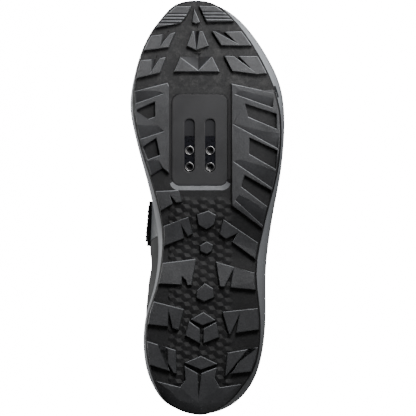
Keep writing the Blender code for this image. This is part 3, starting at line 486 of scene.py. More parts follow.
def blended(tree, factor, first, second):
    """A colour between two colours, each a socket or three numbers."""
    node = tree.nodes.new("ShaderNodeMix")
    node.data_type = "RGBA"
    tree.links.new(factor, node.inputs["Factor"])
    for value, socket in ((first, node.inputs[6]), (second, node.inputs[7])):
        if isinstance(value, bpy.types.NodeSocket):
            tree.links.new(value, socket)
        else:
            socket.default_value = (*value, 1.0)
    return node.outputs[2]


def ranged(tree, value, low, high, start=0.0, end=1.0):
    """A value moved from one range to another and kept inside it."""
    node = tree.nodes.new("ShaderNodeMapRange")
    tree.links.new(value, node.inputs["Value"])
    for socket, number in zip(("From Min", "From Max", "To Min", "To Max"), (low, high, start, end)):
        node.inputs[socket].default_value = number
    return node.outputs["Result"]


mottle, mottle_in, mottle_out = made_group(
    "mottle",
    (("Vector", "NodeSocketVector", None), ("Colour", "NodeSocketColor", None),
     ("Spread", "NodeSocketFloat", 0.2)),
    (("Colour", "NodeSocketColor"), ("Mask", "NodeSocketFloat")),
)
broad = noise_node(mottle, mottle_in.outputs["Vector"], 55.0, 4.0, 0.6)
fine = noise_node(mottle, mottle_in.outputs["Vector"], 900.0, 2.0, 0.5)
broad_part = math_node(mottle, "MULTIPLY", broad, 0.7)
fine_part = math_node(mottle, "MULTIPLY", fine, 0.3)
both = math_node(mottle, "ADD", broad_part, fine_part)
swing = math_node(mottle, "SUBTRACT", ranged(mottle, both, 0.3, 0.7), 0.5)
swing = math_node(mottle, "MULTIPLY", swing, mottle_in.outputs["Spread"])
gain = math_node(mottle, "ADD", swing, 1.0)
tinted = mottle.nodes.new("ShaderNodeVectorMath")
tinted.operation = "SCALE"
mottle.links.new(mottle_in.outputs["Colour"], tinted.inputs[0])
mottle.links.new(gain, tinted.inputs["Scale"])
mottle.links.new(tinted.outputs["Vector"], mottle_out.inputs["Colour"])
mottle.links.new(ranged(mottle, broad, 0.35, 0.65), mottle_out.inputs["Mask"])


def placed_group(tree, group, vector, **values):
    """A group node in a material, fed with the vector and its own values."""
    node = tree.nodes.new("ShaderNodeGroup")
    node.node_tree = group
    tree.links.new(vector, node.inputs["Vector"])
    for name, value in values.items():
        socket = node.inputs[name.replace("_", " ")]
        if isinstance(value, bpy.types.NodeSocket):
            tree.links.new(value, socket)
        else:
            socket.default_value = value
    return node


def bumped(tree, shader, height, distance, strength=1.0):
    """Feeds a height to the shader's normal."""
    bump = tree.nodes.new("ShaderNodeBump")
    bump.inputs["Strength"].default_value = strength
    bump.inputs["Distance"].default_value = distance
    tree.links.new(height, bump.inputs["Height"])
    tree.links.new(bump.outputs["Normal"], shader.inputs["Normal"])


def pebbles_node(tree, vector, scale):
    """The height of a field of small pebbles over a vector."""
    node = tree.nodes.new("ShaderNodeTexVoronoi")
    node.inputs["Scale"].default_value = scale
    tree.links.new(vector, node.inputs["Vector"])
    return node.outputs["Distance"]


def mesh_value(tree, name):
    """A value that the mesh carries under a name."""
    node = tree.nodes.new("ShaderNodeAttribute")
    node.attribute_name = name
    return node.outputs["Fac"]


def new_material(name):
    """A material with its tree, its shader and the shoe's coordinates."""
    made = bpy.data.materials.new(name)
    made.use_nodes = True
    tree = made.node_tree
    return made, tree, tree.nodes["Principled BSDF"], shoe_coordinates(tree)


def coloured(tree, shader, where, colour, spread):
    """Feeds a mottled colour, a socket or three numbers, to the shader. Returns the mottle's mask."""
    if not isinstance(colour, bpy.types.NodeSocket):
        colour = (*colour, 1.0)
    speckled = placed_group(tree, mottle, where, Colour=colour, Spread=spread)
    tree.links.new(speckled.outputs["Colour"], shader.inputs["Base Color"])
    return speckled.outputs["Mask"]


def rubber_material():
    """Stippled black rubber with painted highlights on toe-facing edges, painted shade low down, and
    dust in patches.
    """
    made, tree, shader, where = new_material("tread_rubber")
    rubber_tone = (0.040, 0.041, 0.044)
    # Painted shade: the parts low between the blocks are blended toward this darker copy of the
    # rubber.
    shaded = (0.008, 0.008, 0.009)
    # A pale painted highlight for the edges and the heel ramp that face the light from the toe.
    painted_highlight = (0.260, 0.268, 0.285)
    dusty = (0.062, 0.061, 0.060)
    low = ranged(tree, mesh_value(tree, "tread_depth"), 0.1, 0.9)
    colour = blended(tree, low, rubber_tone, shaded)
    colour = blended(tree, mesh_value(tree, "painted_highlight"), colour, painted_highlight)
    patches = noise_node(tree, where, 170.0, 6.0, 0.75)
    dust = math_node(tree, "MULTIPLY", ranged(tree, patches, 0.47, 0.70), low)
    dust = math_node(tree, "MULTIPLY", dust, mesh_value(tree, "dusty"))
    colour = blended(tree, math_node(tree, "MULTIPLY", dust, 0.75), colour, dusty)
    coloured(tree, shader, where, colour, 0.70)
    rough = math_node(tree, "MULTIPLY", low, 0.16)
    rough = math_node(tree, "ADD", rough, ranged(tree, patches, 0.3, 0.7, 0.36, 0.52))
    tree.links.new(rough, shader.inputs["Roughness"])
    shader.inputs["Specular IOR Level"].default_value = 0.36
    bumped(tree, shader, pebbles_node(tree, where, 1700.0), 0.14 * MM, 0.8)
    return made


# The sharpest turn that is shaded round on a bevel, in degrees
ROUND_ANGLE = 50


def finish_piece(name, builder, materials, nodes=(), smooth=35, flat=None):
    """The bmesh as a piece of the shoe, back in the frame's place and on its body."""
    rounded = builder.faces.layers.int.get("rounded")
    for face in builder.faces:
        face.smooth = flat is None or not flat(face)
    for edge in builder.edges:
        if len(edge.link_faces) != 2:
            continue
        bent = rounded and any(face[rounded] for face in edge.link_faces)
        edge.smooth = edge.calc_face_angle() < math.radians(ROUND_ANGLE if bent else smooth)
    builder.transform(to_world)
    piece = as_object(builder, name)
    for made in materials:
        piece.data.materials.append(made)
    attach(piece, "root")
    if nodes:
        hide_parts(*nodes)
    return piece


# Painted highlights: the toe-facing edges and the heel ramp of the cleat bed are painted pale where
# they face the light, and dust sticks where the toe's floor is smooth. The painted highlight grows
# with how far a face turns toward the toe.
HEEL_RAMP = (0.1515, 0.1572)
RAMP_SLOPES = (0.06, 0.6)
RAMP_HIGHLIGHT = 0.6
HIGHLIGHT_FACING = 0.25
HIGHLIGHT_GAIN = 1.6
DUSTY_FROM = 0.205
DUSTY_FADE = 0.02
DUSTY_LEAST = 0.25
depth_layer = tread.verts.layers.float.new("tread_depth")
highlight_layer = tread.faces.layers.float.new("painted_highlight")
dusty_layer = tread.verts.layers.float.new("dusty")
tread.normal_update()
for vert in tread.verts:
    under = (vert.co.z - ground_gap(vert.co.x)) / BLOCK_HEIGHT
    vert[depth_layer] = min(max(under, 0.0), 1.0)
    toward_toe = min(max((vert.co.x - DUSTY_FROM) / DUSTY_FADE, 0.0), 1.0)
    vert[dusty_layer] = DUSTY_LEAST + (1 - DUSTY_LEAST) * toward_toe
for face in tread.faces:
    middle = face.calc_center_median()
    sloping = RAMP_SLOPES[0] < face.normal.x < RAMP_SLOPES[1]
    on_ramp = HEEL_RAMP[0] < middle.x < HEEL_RAMP[1] and sloping
    if face[rounded_layer] and face.normal.x > HIGHLIGHT_FACING:
        face[highlight_layer] = min(face.normal.x * HIGHLIGHT_GAIN, 1.0)
    elif on_ramp and middle.z - ground_gap(middle.x) > BLOCK_HEIGHT:
        face[highlight_layer] = RAMP_HIGHLIGHT
finish_piece("tread", tread, [rubber_material()], ("outsole",), 14, is_cast)


# Midsole
# The light grey foam body is moulded over the tread and cups the upper with a raised rim. Fine
# parallel lines run along its outer flank from the ball to the toe.

CONTOUR_PITCH = 1.05 * MM
CONTOUR_DEPTH = 0.42 * MM
CONTOUR_LEVELS = (7.6 * MM, 13.2 * MM)
CONTOUR_REACH = (0.60, 0.99)
CONTOUR_FADES = (0.12, 0.02)
FLANK_FACING = 0.05


def quads_from(builder):
    """Joins pairs of triangles back into the four-sided faces of a loft."""
    bmesh.ops.join_triangles(
        builder, faces=builder.faces, angle_face_threshold=math.radians(40),
        angle_shape_threshold=math.radians(60),
    )
    return builder


def smoothed(builder, levels, crease_over=32):
    """The body with its faces subdivided to a smooth surface, edges sharper than this kept."""
    quads_from(builder)
    creases = builder.edges.layers.float
    kept = creases.get("crease_edge") or creases.new("crease_edge")
    for edge in builder.edges:
        if len(edge.link_faces) == 2 and edge.calc_face_angle() > math.radians(crease_over):
            edge[kept] = 1.0
    scratch = as_object(builder, "scratch")
    modifier = scratch.modifiers.new("smoothed", "SUBSURF")
    modifier.levels = levels
    modifier.render_levels = levels
    return evaluated(scratch)


def eased(share):
    """0 below 0, 1 above 1, and an even swing between."""
    share = min(max(share, 0.0), 1.0)
    return share * share * (3 - 2 * share)


# The lines are cut while the toe spring is taken out, so that they follow the sole
foam = smoothed(copied("midsole"), 1)
for vert in foam.verts:
    vert.co.z -= toe_lift(vert.co.x)
level = CONTOUR_LEVELS[0]
while level < CONTOUR_LEVELS[1]:
    flank = [
        face
        for face in foam.faces
        if face.normal.y > FLANK_FACING
        and face.calc_center_median().x > CONTOUR_REACH[0] * SHOE_LENGTH
    ]
    cut_faces(foam, flank, UP * level, UP)
    level += CONTOUR_PITCH / 2
foam.normal_update()
for vert in foam.verts:
    steps = (vert.co.z - CONTOUR_LEVELS[0]) / (CONTOUR_PITCH / 2)
    if vert.normal.y < FLANK_FACING or abs(steps - round(steps)) > 0.02 or round(steps) % 2 == 0:
        continue
    if not CONTOUR_LEVELS[0] < vert.co.z < CONTOUR_LEVELS[1]:
        continue
    station = vert.co.x / SHOE_LENGTH
    share = eased((station - CONTOUR_REACH[0]) / CONTOUR_FADES[0])
    share *= eased((CONTOUR_REACH[1] - station) / CONTOUR_FADES[1])
    vert.co -= vert.normal * CONTOUR_DEPTH * share
for vert in foam.verts:
    vert.co.z += toe_lift(vert.co.x)


def foam_material():
    """Grey moulded foam with a fine skin, with painted light that makes it paler toward the toe, and
    grime in patches.
    """
    made, tree, shader, where = new_material("midsole_foam")
    split = tree.nodes.new("ShaderNodeSeparateXYZ")
    tree.links.new(where, split.inputs["Vector"])
    # Painted light: the foam is made paler toward the toe, where the light falls.
    painted_light_share = ranged(tree, split.outputs["X"], 0.08, 0.24)
    colour = blended(tree, painted_light_share, (0.200, 0.207, 0.217), (0.270, 0.283, 0.300))
    patches = noise_node(tree, where, 90.0, 5.0, 0.65)
    grime = ranged(tree, patches, 0.50, 0.80, 0.0, 0.22)
    colour = blended(tree, grime, colour, (0.150, 0.148, 0.145))
    coloured(tree, shader, where, colour, 0.12)
    tree.links.new(ranged(tree, patches, 0.3, 0.7, 0.50, 0.62), shader.inputs["Roughness"])
    bumped(tree, shader, noise_node(tree, where, 1500.0, 2.0), 0.05 * MM, 0.5)
    return made


def plain_material(name, colour, spread, roughness, grain=None):
    """One mottled colour and an even roughness. A grain is its scale, detail, depth and strength."""
    made, tree, shader, where = new_material(name)
    coloured(tree, shader, where, colour, spread)
    shader.inputs["Roughness"].default_value = roughness
    if grain:
        scale, detail, depth, strength = grain
        bumped(tree, shader, noise_node(tree, where, scale, detail), depth * MM, strength)
    return made


# The dark room behind the cleat bed as its start and end along x and y and its top, in millimetres.
# Its ceiling faces down. The foam's faces in it are painted near-black as painted shade.
CLEAT_ROOM = ((150.0, 222.0), (-26.0, 19.0), 30.0)
CEILING_FACING = -0.8
shadow_liner = plain_material("shadow_liner", (0.005, 0.005, 0.008), 0.3, 0.7)
(room_start, room_end), (room_inner, room_outer), room_top = CLEAT_ROOM
for face in foam.faces:
    middle = face.calc_center_median() / MM
    inside = room_inner < middle.y < room_outer or face.normal.z < CEILING_FACING
    behind = room_start < middle.x < room_end and inside and middle.z < room_top
    face.material_index = 1 if behind else 0
finish_piece(
    "midsole_body", foam, [foam_material(), shadow_liner], ("midsole",), smooth=30
)


# Cleat bed
# A moulded plate with two long slots closes the window in the tread. Behind it a steel plate with
# four threaded bosses slides in the slots, and the bosses' bright rims show through them.

PLATE_ROUND = 0.35 * MM
RIM_RADIUS = 2.75 * MM
RIM_TUBE = 0.26 * MM
RIM_UNDER = 1.55 * MM
NUT_SPOTS = tuple((x, y) for x in (179.6, 168.4) for y in (-10.6, 3.4))
THREAD_TURNS = 4
THREAD_START = 0.5
THREAD_PITCH = 0.55
THREAD_RADIUS = RIM_RADIUS - 0.75 * MM
THREAD_TUBE = 0.16 * MM


def rounded_edges(builder, offset, angle, segments=2):
    """Rounds a body's sharp outer edges."""
    sharp = [
        edge
        for edge in builder.edges
        if len(edge.link_faces) == 2
        and edge.is_convex
        and edge.calc_face_angle() > math.radians(angle)
    ]
    bmesh.ops.bevel(
        builder, geom=sharp, offset=offset, segments=segments, profile=0.5, affect="EDGES",
        clamp_overlap=True, material=-1,
    )
    return builder


def plate_material():
    """Smooth dark moulded plastic, glossier in patches."""
    made, tree, shader, where = new_material("plate_plastic")
    mask = coloured(tree, shader, where, (0.022, 0.022, 0.024), 0.25)
    tree.links.new(ranged(tree, mask, 0.0, 1.0, 0.42, 0.55), shader.inputs["Roughness"])
    bumped(tree, shader, noise_node(tree, where, 2200.0, 2.0), 0.04 * MM, 0.4)
    return made


def steel_material(name, clean, stained):
    """Plated steel with stains."""
    made, tree, shader, where = new_material(name)
    patches = noise_node(tree, where, 600.0, 4.0, 0.6)
    colour = blended(tree, ranged(tree, patches, 0.35, 0.7), clean, stained)
    tree.links.new(colour, shader.inputs["Base Color"])
    shader.inputs["Metallic"].default_value = 1.0
    tree.links.new(ranged(tree, patches, 0.3, 0.7, 0.22, 0.42), shader.inputs["Roughness"])
    bumped(tree, shader, patches, 0.05 * MM, 0.5)
    return made


plate = joined_flats(copied("cleat_plate"), 1)
finish_piece(
    "cleat_plate_cover", rounded_edges(plate, PLATE_ROUND, 50), [plate_material()],
    ("cleat_plate",), smooth=18,
)


def ring_body(centre, radius, tube, steps=28, sides=8):
    """A closed round ring, spun from a small circle."""
    builder = bmesh.new()
    place = Matrix.Translation(centre + ALONG * radius)
    place = place @ Matrix.Rotation(math.pi / 2, 4, "X")
    circle = bmesh.ops.create_circle(builder, segments=sides, radius=tube, matrix=place)
    around = dict.fromkeys(edge for vert in circle["verts"] for edge in vert.link_edges)
    spun = [*circle["verts"], *around]
    bmesh.ops.spin(
        builder, geom=spun, cent=centre, axis=UP, angle=2 * math.pi, steps=steps,
        use_merge=True, use_duplicate=False,
    )
    bmesh.ops.remove_doubles(builder, verts=builder.verts, dist=MERGE)
    bmesh.ops.recalc_face_normals(builder, faces=builder.faces)
    return builder


nuts = joined_flats(copied("cleat_nut"), 1)
# The nut plate gets a near-black steel colour.
dark_steel = steel_material("dark_steel", (0.040, 0.042, 0.052), (0.020, 0.020, 0.026))
bright_steel = steel_material("bright_steel", (0.42, 0.41, 0.40), (0.16, 0.16, 0.17))
finish_piece("nut_plate", nuts, [dark_steel], ("cleat_nut",))
rims = bmesh.new()
for x, y in NUT_SPOTS:
    rim_centre = on_tread(x, y, BLOCK_HEIGHT + RIM_UNDER)
    added(rims, ring_body(rim_centre, RIM_RADIUS, RIM_TUBE))
    for turn in range(THREAD_TURNS):
        thread = rim_centre + UP * (THREAD_START + turn * THREAD_PITCH) * MM
        added(rims, ring_body(thread, THREAD_RADIUS, THREAD_TUBE, 20, 6))
finish_piece("nut_rims", rims, [bright_steel])


# Upper
# One shell of grey woven synthetic stands in the midsole's rim, with a dark lining inside. The
# main creases run across the vamp where the toes bend, and round the ankle behind the straps.

WEAVE_PITCH = 0.9 * MM

# Creases as a path of points in the shoe's frame, in millimetres, with width and depth
CREASES = (
    (((200, -52, 34), (197, -38, 50), (203, -22, 60)), 4.2, 1.1),
    (((209, -50, 30), (212, -37, 47), (214, -22, 57)), 3.6, 0.8),
    (((197, 52, 34), (199, 40, 50), (203, 22, 60)), 4.4, 1.2),
    (((208, 52, 30), (211, 40, 46), (214, 22, 57)), 3.6, 0.8),
    (((96, -38, 40), (104, -40, 56), (104, -30, 78)), 6.5, 1.2),
    (((92, 36, 42), (100, 34, 58), (106, 28, 80)), 6.0, 1.2),
    (((28, -28, 56), (44, -34, 50), (62, -36, 54)), 5.5, 0.9),
    (((28, 27, 56), (44, 34, 50), (62, 34, 54)), 5.5, 0.9),
)
RIDGE_SHARE = 0.35


def distance_to(point, path):
    """The distance from a point to a path of straight runs."""
    nearest = 1.0
    for start, end in zip(path, path[1:]):
        along = end - start
        share = min(max((point - start).dot(along) / along.length_squared, 0.0), 1.0)
        nearest = min(nearest, (point - start - along * share).length)
    return nearest


def crease(builder, rows):
    """Presses soft troughs into the body, with a low ridge on each side of each."""
    moves = {}
    builder.normal_update()
    for points, width, depth in rows:
        path = [Vector(point) * MM for point in points]
        for vert in builder.verts:
            far = distance_to(vert.co, path) / (width * MM)
            if far < 3:
                trough = math.exp(-far * far)
                ridge = math.exp(-((far - 1.6) ** 2) * 2.5) * RIDGE_SHARE
                moves[vert] = moves.get(vert, 0.0) + (ridge - trough) * depth * MM
    for vert, move in moves.items():
        vert.co += vert.normal * move
    return builder


# The line inside the shoe that its walls face away from
INSIDE = ((0.055, 0.045), (0.150, 0.045), (0.235, 0.030))


def inside_point(point):
    """The nearest point of the line inside the shoe."""
    x = min(max(point.x, INSIDE[0][0]), INSIDE[-1][0])
    share = (x - INSIDE[0][0]) / (INSIDE[-1][0] - INSIDE[0][0])
    return Vector((x, -0.002, INSIDE[0][1] + (INSIDE[-1][1] - INSIDE[0][1]) * share))


def faces_out(face):
    """Whether a face of a wall is on its outer side."""
    middle = face.calc_center_median()
    return face.normal.dot(middle - inside_point(middle)) > 0


def outer_skin(builder):
    """A copy of a body with only the faces that look away from the inside of the shoe."""
    skin = builder.copy()
    skin.normal_update()
    hidden = [face for face in skin.faces if not faces_out(face)]
    bmesh.ops.delete(skin, geom=hidden, context="FACES")
    return skin


def weave_group():
    """Threads over and under each other, as a height."""
    group, inputs, outputs = made_group(
        "weave",
        (("Vector", "NodeSocketVector", None), ("Pitch", "NodeSocketFloat", 0.001)),
        (("Height", "NodeSocketFloat"),),
    )
    split = group.nodes.new("ShaderNodeSeparateXYZ")
    group.links.new(inputs.outputs["Vector"], split.inputs["Vector"])
    across = math_node(group, "ADD", split.outputs["Y"], split.outputs["Z"])
    waves = []
    for value in (split.outputs["X"], across):
        turns = math_node(group, "DIVIDE", value, inputs.outputs["Pitch"])
        waves.append(math_node(group, "SINE", math_node(group, "MULTIPLY", turns, 2 * math.pi)))
    product = math_node(group, "MULTIPLY", waves[0], waves[1])
    height = math_node(group, "ADD", math_node(group, "MULTIPLY", product, 0.5), 0.5)
    group.links.new(height, outputs.inputs["Height"])
    return group


weave = weave_group()


def cloth_material(name, colour, pitch, roughness, sheen=0.15, contrast=0.30, distance=0.16):
    """Woven cloth: threads of two shades with a soft sheen."""
    made, tree, shader, where = new_material(name)
    threads = placed_group(tree, weave, where, Pitch=pitch)
    dark = tuple(part * (1 - contrast) for part in colour)
    mixed = blended(tree, threads.outputs["Height"], dark, colour)
    mask = coloured(tree, shader, where, mixed, 0.22)
    rough = ranged(tree, mask, 0.0, 1.0, roughness - 0.06, roughness + 0.06)
    tree.links.new(rough, shader.inputs["Roughness"])
    shader.inputs["Sheen Weight"].default_value = sheen
    bumped(tree, shader, threads.outputs["Height"], distance * MM, 0.6)
    return made


upper_cloth = cloth_material("upper_synthetic", (0.050, 0.051, 0.052), WEAVE_PITCH, 0.62)
lining_cloth = cloth_material("upper_lining", (0.070, 0.072, 0.076), 1.3 * MM, 0.85, 0.3)

shell = crease(smoothed(copied("upper"), 1, 60), CREASES)
shell.normal_update()
for face in shell.faces:
    face.material_index = 0 if faces_out(face) else 1
outside = outer_skin(shell)
outside_tree = BVHTree.FromBMesh(outside)
finish_piece("upper_shell", shell, [upper_cloth, lining_cloth], ("upper",))


def edge_loops(builder):
    """The open edges of a surface as ordered lists of points, the longest first."""
    loops = []
    left = dict.fromkeys(edge for edge in builder.edges if edge.is_boundary)
    while left:
        edge = next(iter(left))
        del left[edge]
        chain = [edge.verts[0], edge.verts[1]]
        while True:
            ahead = [edge for edge in chain[-1].link_edges if edge in left]
            if not ahead:
                break
            del left[ahead[0]]
            chain.append(ahead[0].other_vert(chain[-1]))
        loops.append([vert.co.copy() for vert in chain])
    return sorted(loops, key=len, reverse=True)


def evened(points, pitch, closed=False):
    """Points at an even pitch along a path."""
    path = points + points[:1] if closed else points
    found = [path[0].copy()]
    left = pitch
    for start, end in zip(path, path[1:]):
        length = (end - start).length
        travelled = 0.0
        while length - travelled >= left:
            travelled += left
            found.append(start.lerp(end, travelled / length))
            left = pitch
        left -= length - travelled
    return found


def relaxed(points, rounds, closed=False):
    """A path with its kinks smoothed out."""
    for _ in range(rounds):
        middles = []
        for index, point in enumerate(points):
            before = points[index - 1]
            after = points[(index + 1) % len(points)]
            held = not closed and index in (0, len(points) - 1)
            middles.append(point if held else point * 0.5 + (before + after) * 0.25)
        points = middles
    return points


def mean_height(points):
    """The mean height of a path."""
    return sum(point.z for point in points) / len(points)


def offset_line(points, tree, distance):
    """A closed path moved sideways along a surface, away from the surface's open edge."""
    moved = []
    for index, point in enumerate(points):
        along = points[(index + 1) % len(points)] - points[index - 1]
        spot, normal, _, _ = tree.find_nearest(point)
        side = normal.cross(along).normalized()
        tries = []
        for way in (-1, 1):
            aim = spot + side * distance * way
            found, _, _, miss = tree.find_nearest(aim)
            tries.append((miss, way, found))
        moved.append(min(tries)[2])
    return relaxed(moved, 2, closed=True)


STITCH_PITCH = 3.0 * MM
STITCH_SIZE = (1.05 * MM, 0.27 * MM, 0.24 * MM)
STITCH_LIFT = 0.08 * MM


def stitched(builder, points, tree, closed=False, pitch=STITCH_PITCH):
    """Adds a row of stitches along a path on a surface, each a short round thread."""
    spots = evened(points, pitch, closed)
    for start, end in zip(spots, spots[1:]):
        spot, normal, _, _ = tree.find_nearest((start + end) / 2)
        along = (end - start).normalized()
        side = normal.cross(along).normalized()
        axes = [axis * size for axis, size in zip((along, side, normal), STITCH_SIZE)]
        place = Matrix(axes).transposed().to_4x4()
        place.translation = spot + normal * STITCH_LIFT
        bmesh.ops.create_uvsphere(builder, u_segments=6, v_segments=4, radius=1.0, matrix=place)
    return builder


THREAD_GRAIN = (3500.0, 1.0, 0.05, 0.5)
grey_thread = plain_material("grey_thread", (0.075, 0.077, 0.080), 0.3, 0.6, THREAD_GRAIN)
dark_thread = plain_material("dark_thread", (0.030, 0.030, 0.033), 0.3, 0.6, THREAD_GRAIN)

# The open edges are those of the sole, the throat and the collar. The highest is the top line.
TOP_SEAM_INSET = 4.5 * MM
top_line = max(edge_loops(outside)[:3], key=mean_height)
top_line = relaxed(evened(top_line, 3 * MM, closed=True), 6, closed=True)
seams = bmesh.new()
stitched(seams, offset_line(top_line, outside_tree, TOP_SEAM_INSET), outside_tree, closed=True)

# The vamp's seams as points on its outer side, in millimetres from the heel tip
VAMP_SEAMS = (
    ((187, -13, 71), (184, -28, 63), (176, -41, 48), (166, -45, 34), (158, -44, 24)),
    ((187, 13, 71), (186, 30, 62), (179, 44, 48), (170, 49, 36), (162, 49, 26)),
)
SEAM_GAP = 2.4
for row in VAMP_SEAMS:
    for shift in (0.0, SEAM_GAP):
        path = [Vector((x - shift, y, z)) * MM for x, y, z in row]
        stitched(seams, relaxed(evened(path, MM), 12), outside_tree)
finish_piece("upper_seams", seams, [grey_thread])


def lofted(rings):
    """A closed body through rings of points, each bridged to the next."""
    builder = bmesh.new()
    before = None
    for ring in rings:
        corners = [builder.verts.new(point) for point in ring]
        edges = [
            builder.edges.new((corner, corners[(index + 1) % len(corners)]))
            for index, corner in enumerate(corners)
        ]
        if before:
            bmesh.ops.bridge_loops(builder, edges=before + edges)
        before = edges
    bmesh.ops.holes_fill(builder, edges=builder.edges, sides=len(rings[0]))
    bmesh.ops.recalc_face_normals(builder, faces=builder.faces)
    return builder


# The collar's padding: how far in and how far down each point of its section lies, in
# millimetres from the upper's edge
PAD_SECTION = (
    (0.3, 0.4), (0.9, -0.9), (3.2, -1.7), (6.0, -0.6), (7.6, 3.0), (7.9, 8.0), (7.0, 14.0),
    (4.8, 20.0), (2.6, 23.5), (2.3, 16.0), (2.3, 8.0), (2.2, 2.5),
)
PAD_FRONT = 0.106
PAD_TAPER = 0.030
PAD_LEAST = 0.35
PAD_REACH = 14 * MM
first = next(
    index for index, point in enumerate(top_line)
    if point.x < PAD_FRONT and top_line[index - 1].x >= PAD_FRONT
)
collar_line = top_line[first:] + top_line[:first]
collar_line = [point for point in collar_line if point.x < PAD_FRONT]
rings = []
for index, point in enumerate(collar_line):
    before = collar_line[max(index - 1, 0)]
    after = collar_line[min(index + 1, len(collar_line) - 1)]
    along = (after - before).normalized()
    plumb = (along * along.z - UP).normalized()
    wall, _, _, _ = outside_tree.find_nearest(point + plumb * PAD_REACH)
    down = (wall - point).normalized()
    inward = down.cross(along).normalized()
    if inward.dot(inside_point(point) - point) < 0:
        inward.negate()
    size = PAD_LEAST + (1 - PAD_LEAST) * eased((PAD_FRONT - point.x) / PAD_TAPER)
    rings.append([point + (down * low + inward * deep) * MM * size for deep, low in PAD_SECTION])
collar_pad = smoothed(lofted(rings), 1, 180)
pad_cloth = cloth_material("collar_fabric", (0.040, 0.041, 0.045), 1.3 * MM, 0.88, 0.35)
collar = finish_piece("collar_padding", collar_pad, [pad_cloth], smooth=60)


# Overlays
# A toe cap and a heel counter of smooth dark synthetic are laid on the upper and lasted in with
# it, and a dark blue-grey panel fills the inner side behind the strap's loop.

OVERLAY_ROUND = 0.35 * MM


def overlay_material(name, colour, roughness, specular=0.5):
    """Smooth synthetic leather with a fine grain and scuffs."""
    made, tree, shader, where = new_material(name)
    patches = noise_node(tree, where, 70.0, 6.0, 0.7)
    scuff = ranged(tree, patches, 0.58, 0.80, 0.0, 0.5)
    lighter = tuple(part * 1.9 for part in colour)
    mixed = blended(tree, scuff, colour, lighter)
    coloured(tree, shader, where, mixed, 0.2)
    rough = ranged(tree, patches, 0.3, 0.7, roughness - 0.05, roughness + 0.1)
    tree.links.new(rough, shader.inputs["Roughness"])
    shader.inputs["Specular IOR Level"].default_value = specular
    bumped(tree, shader, pebbles_node(tree, where, 900.0), 0.12 * MM, 0.35)
    return made


overlay_skin = overlay_material("overlay_synthetic", (0.048, 0.051, 0.056), 0.48)
BORDER_INSET = 2.4 * MM


def bordered(builder, body, inset=BORDER_INSET):
    """Adds a row of stitches just inside the outline of a body's outer side."""
    skin = outer_skin(body)
    tree = BVHTree.FromBMesh(skin)
    outline = relaxed(evened(edge_loops(skin)[0], 2 * MM, closed=True), 3, closed=True)
    skin.free()
    return stitched(builder, offset_line(outline, tree, inset), tree, closed=True)


overlay_seams = bmesh.new()
for node in ("toe_cap", "heel_counter"):
    cap = smoothed(copied(node), 1, 60)
    bordered(overlay_seams, cap)
    cap = rounded_edges(cap, OVERLAY_ROUND, 60)
    finish_piece(node + "_skin", cap, [overlay_skin], (node,))
finish_piece("overlay_seams", overlay_seams, [dark_thread])


def panel_body(planes, lift, thickness):
    """A thin panel that hugs the upper where it lies on the inner side of every plane."""
    builder = outside.copy()
    for point, normal in planes:
        bmesh.ops.bisect_plane(
            builder, geom=[*builder.faces, *builder.edges, *builder.verts], dist=CUT_NEAR,
            plane_co=Vector(point) * MM, plane_no=Vector(normal), clear_outer=True,
        )
    builder.normal_update()
    for vert in builder.verts:
        vert.co += vert.normal * lift
    bmesh.ops.solidify(builder, geom=builder.faces, thickness=-thickness)
    bmesh.ops.recalc_face_normals(builder, faces=builder.faces)
    return builder


# The panels' planes as a point in millimetres and the way out of the panel
blue_skin = overlay_material("blue_panel", (0.034, 0.041, 0.047), 0.42)
INNER_PANEL = (
    ((125, -40, 20), (-0.97, -0.05, -0.25)),
    ((150, -40, 20), (0.95, 0.0, 0.30)),
    ((140, -40, 52), (0.10, 0.0, 1.0)),
    ((140, -20, 20), (0.0, 1.0, 0.0)),
)
panel = panel_body(INNER_PANEL, 0.30 * MM, 0.6 * MM)
finish_piece("inner_panel", panel, [blue_skin])

# The quarters: smooth grey synthetic over the cloth behind each seam of the vamp
QUARTERS = (
    (((189, -13, 71), (0.93, 0.10, -0.35)), ((100, 0, 40), (0.0, 1.0, 0.0))),
    (((189, 13, 71), (0.93, -0.10, -0.35)), ((100, 0, 40), (0.0, -1.0, 0.0))),
)
quarter_skin = overlay_material("quarter_synthetic", (0.048, 0.049, 0.049), 0.72, 0.2)
quarters = bmesh.new()
for planes in QUARTERS:
    added(quarters, panel_body(planes, 0.05 * MM, 0.5 * MM))
finish_piece("quarters", quarters, [quarter_skin])


# Tongue
# A padded flap of knitted fabric lies under the throat. Its channels are sewn across it.

tongue_cloth = cloth_material("tongue_fabric", (0.036, 0.037, 0.041), 1.5 * MM, 0.85, 0.35)
CHANNEL_PITCH = 14 * MM
CHANNEL_DEPTH = 0.9 * MM
flap = smoothed(copied("tongue"), 1, 60)
flap.normal_update()
for vert in flap.verts:
    phase = (vert.co.x / CHANNEL_PITCH) % 1.0
    swell = abs(math.sin(math.pi * phase)) ** 0.5
    if vert.normal.z > 0.3:
        vert.co += vert.normal * (swell - 1.0) * CHANNEL_DEPTH
tongue = finish_piece("tongue_pad", flap, [tongue_cloth], ("tongue",))


# Insole
# A thin foam footbed with a fabric top lies on the midsole, inside the upper.

insole_cloth = cloth_material("insole_fabric", (0.060, 0.063, 0.070), 1.1 * MM, 0.9, 0.3)
footbed = rounded_edges(copied("insole"), 0.8 * MM, 60)
insole = finish_piece("insole_top", footbed, [insole_cloth], ("insole",))


# Straps
# Three webbing straps cross the throat. The instep strap goes round the bar of a moulded loop on
# the inner side and is stuck down on itself.

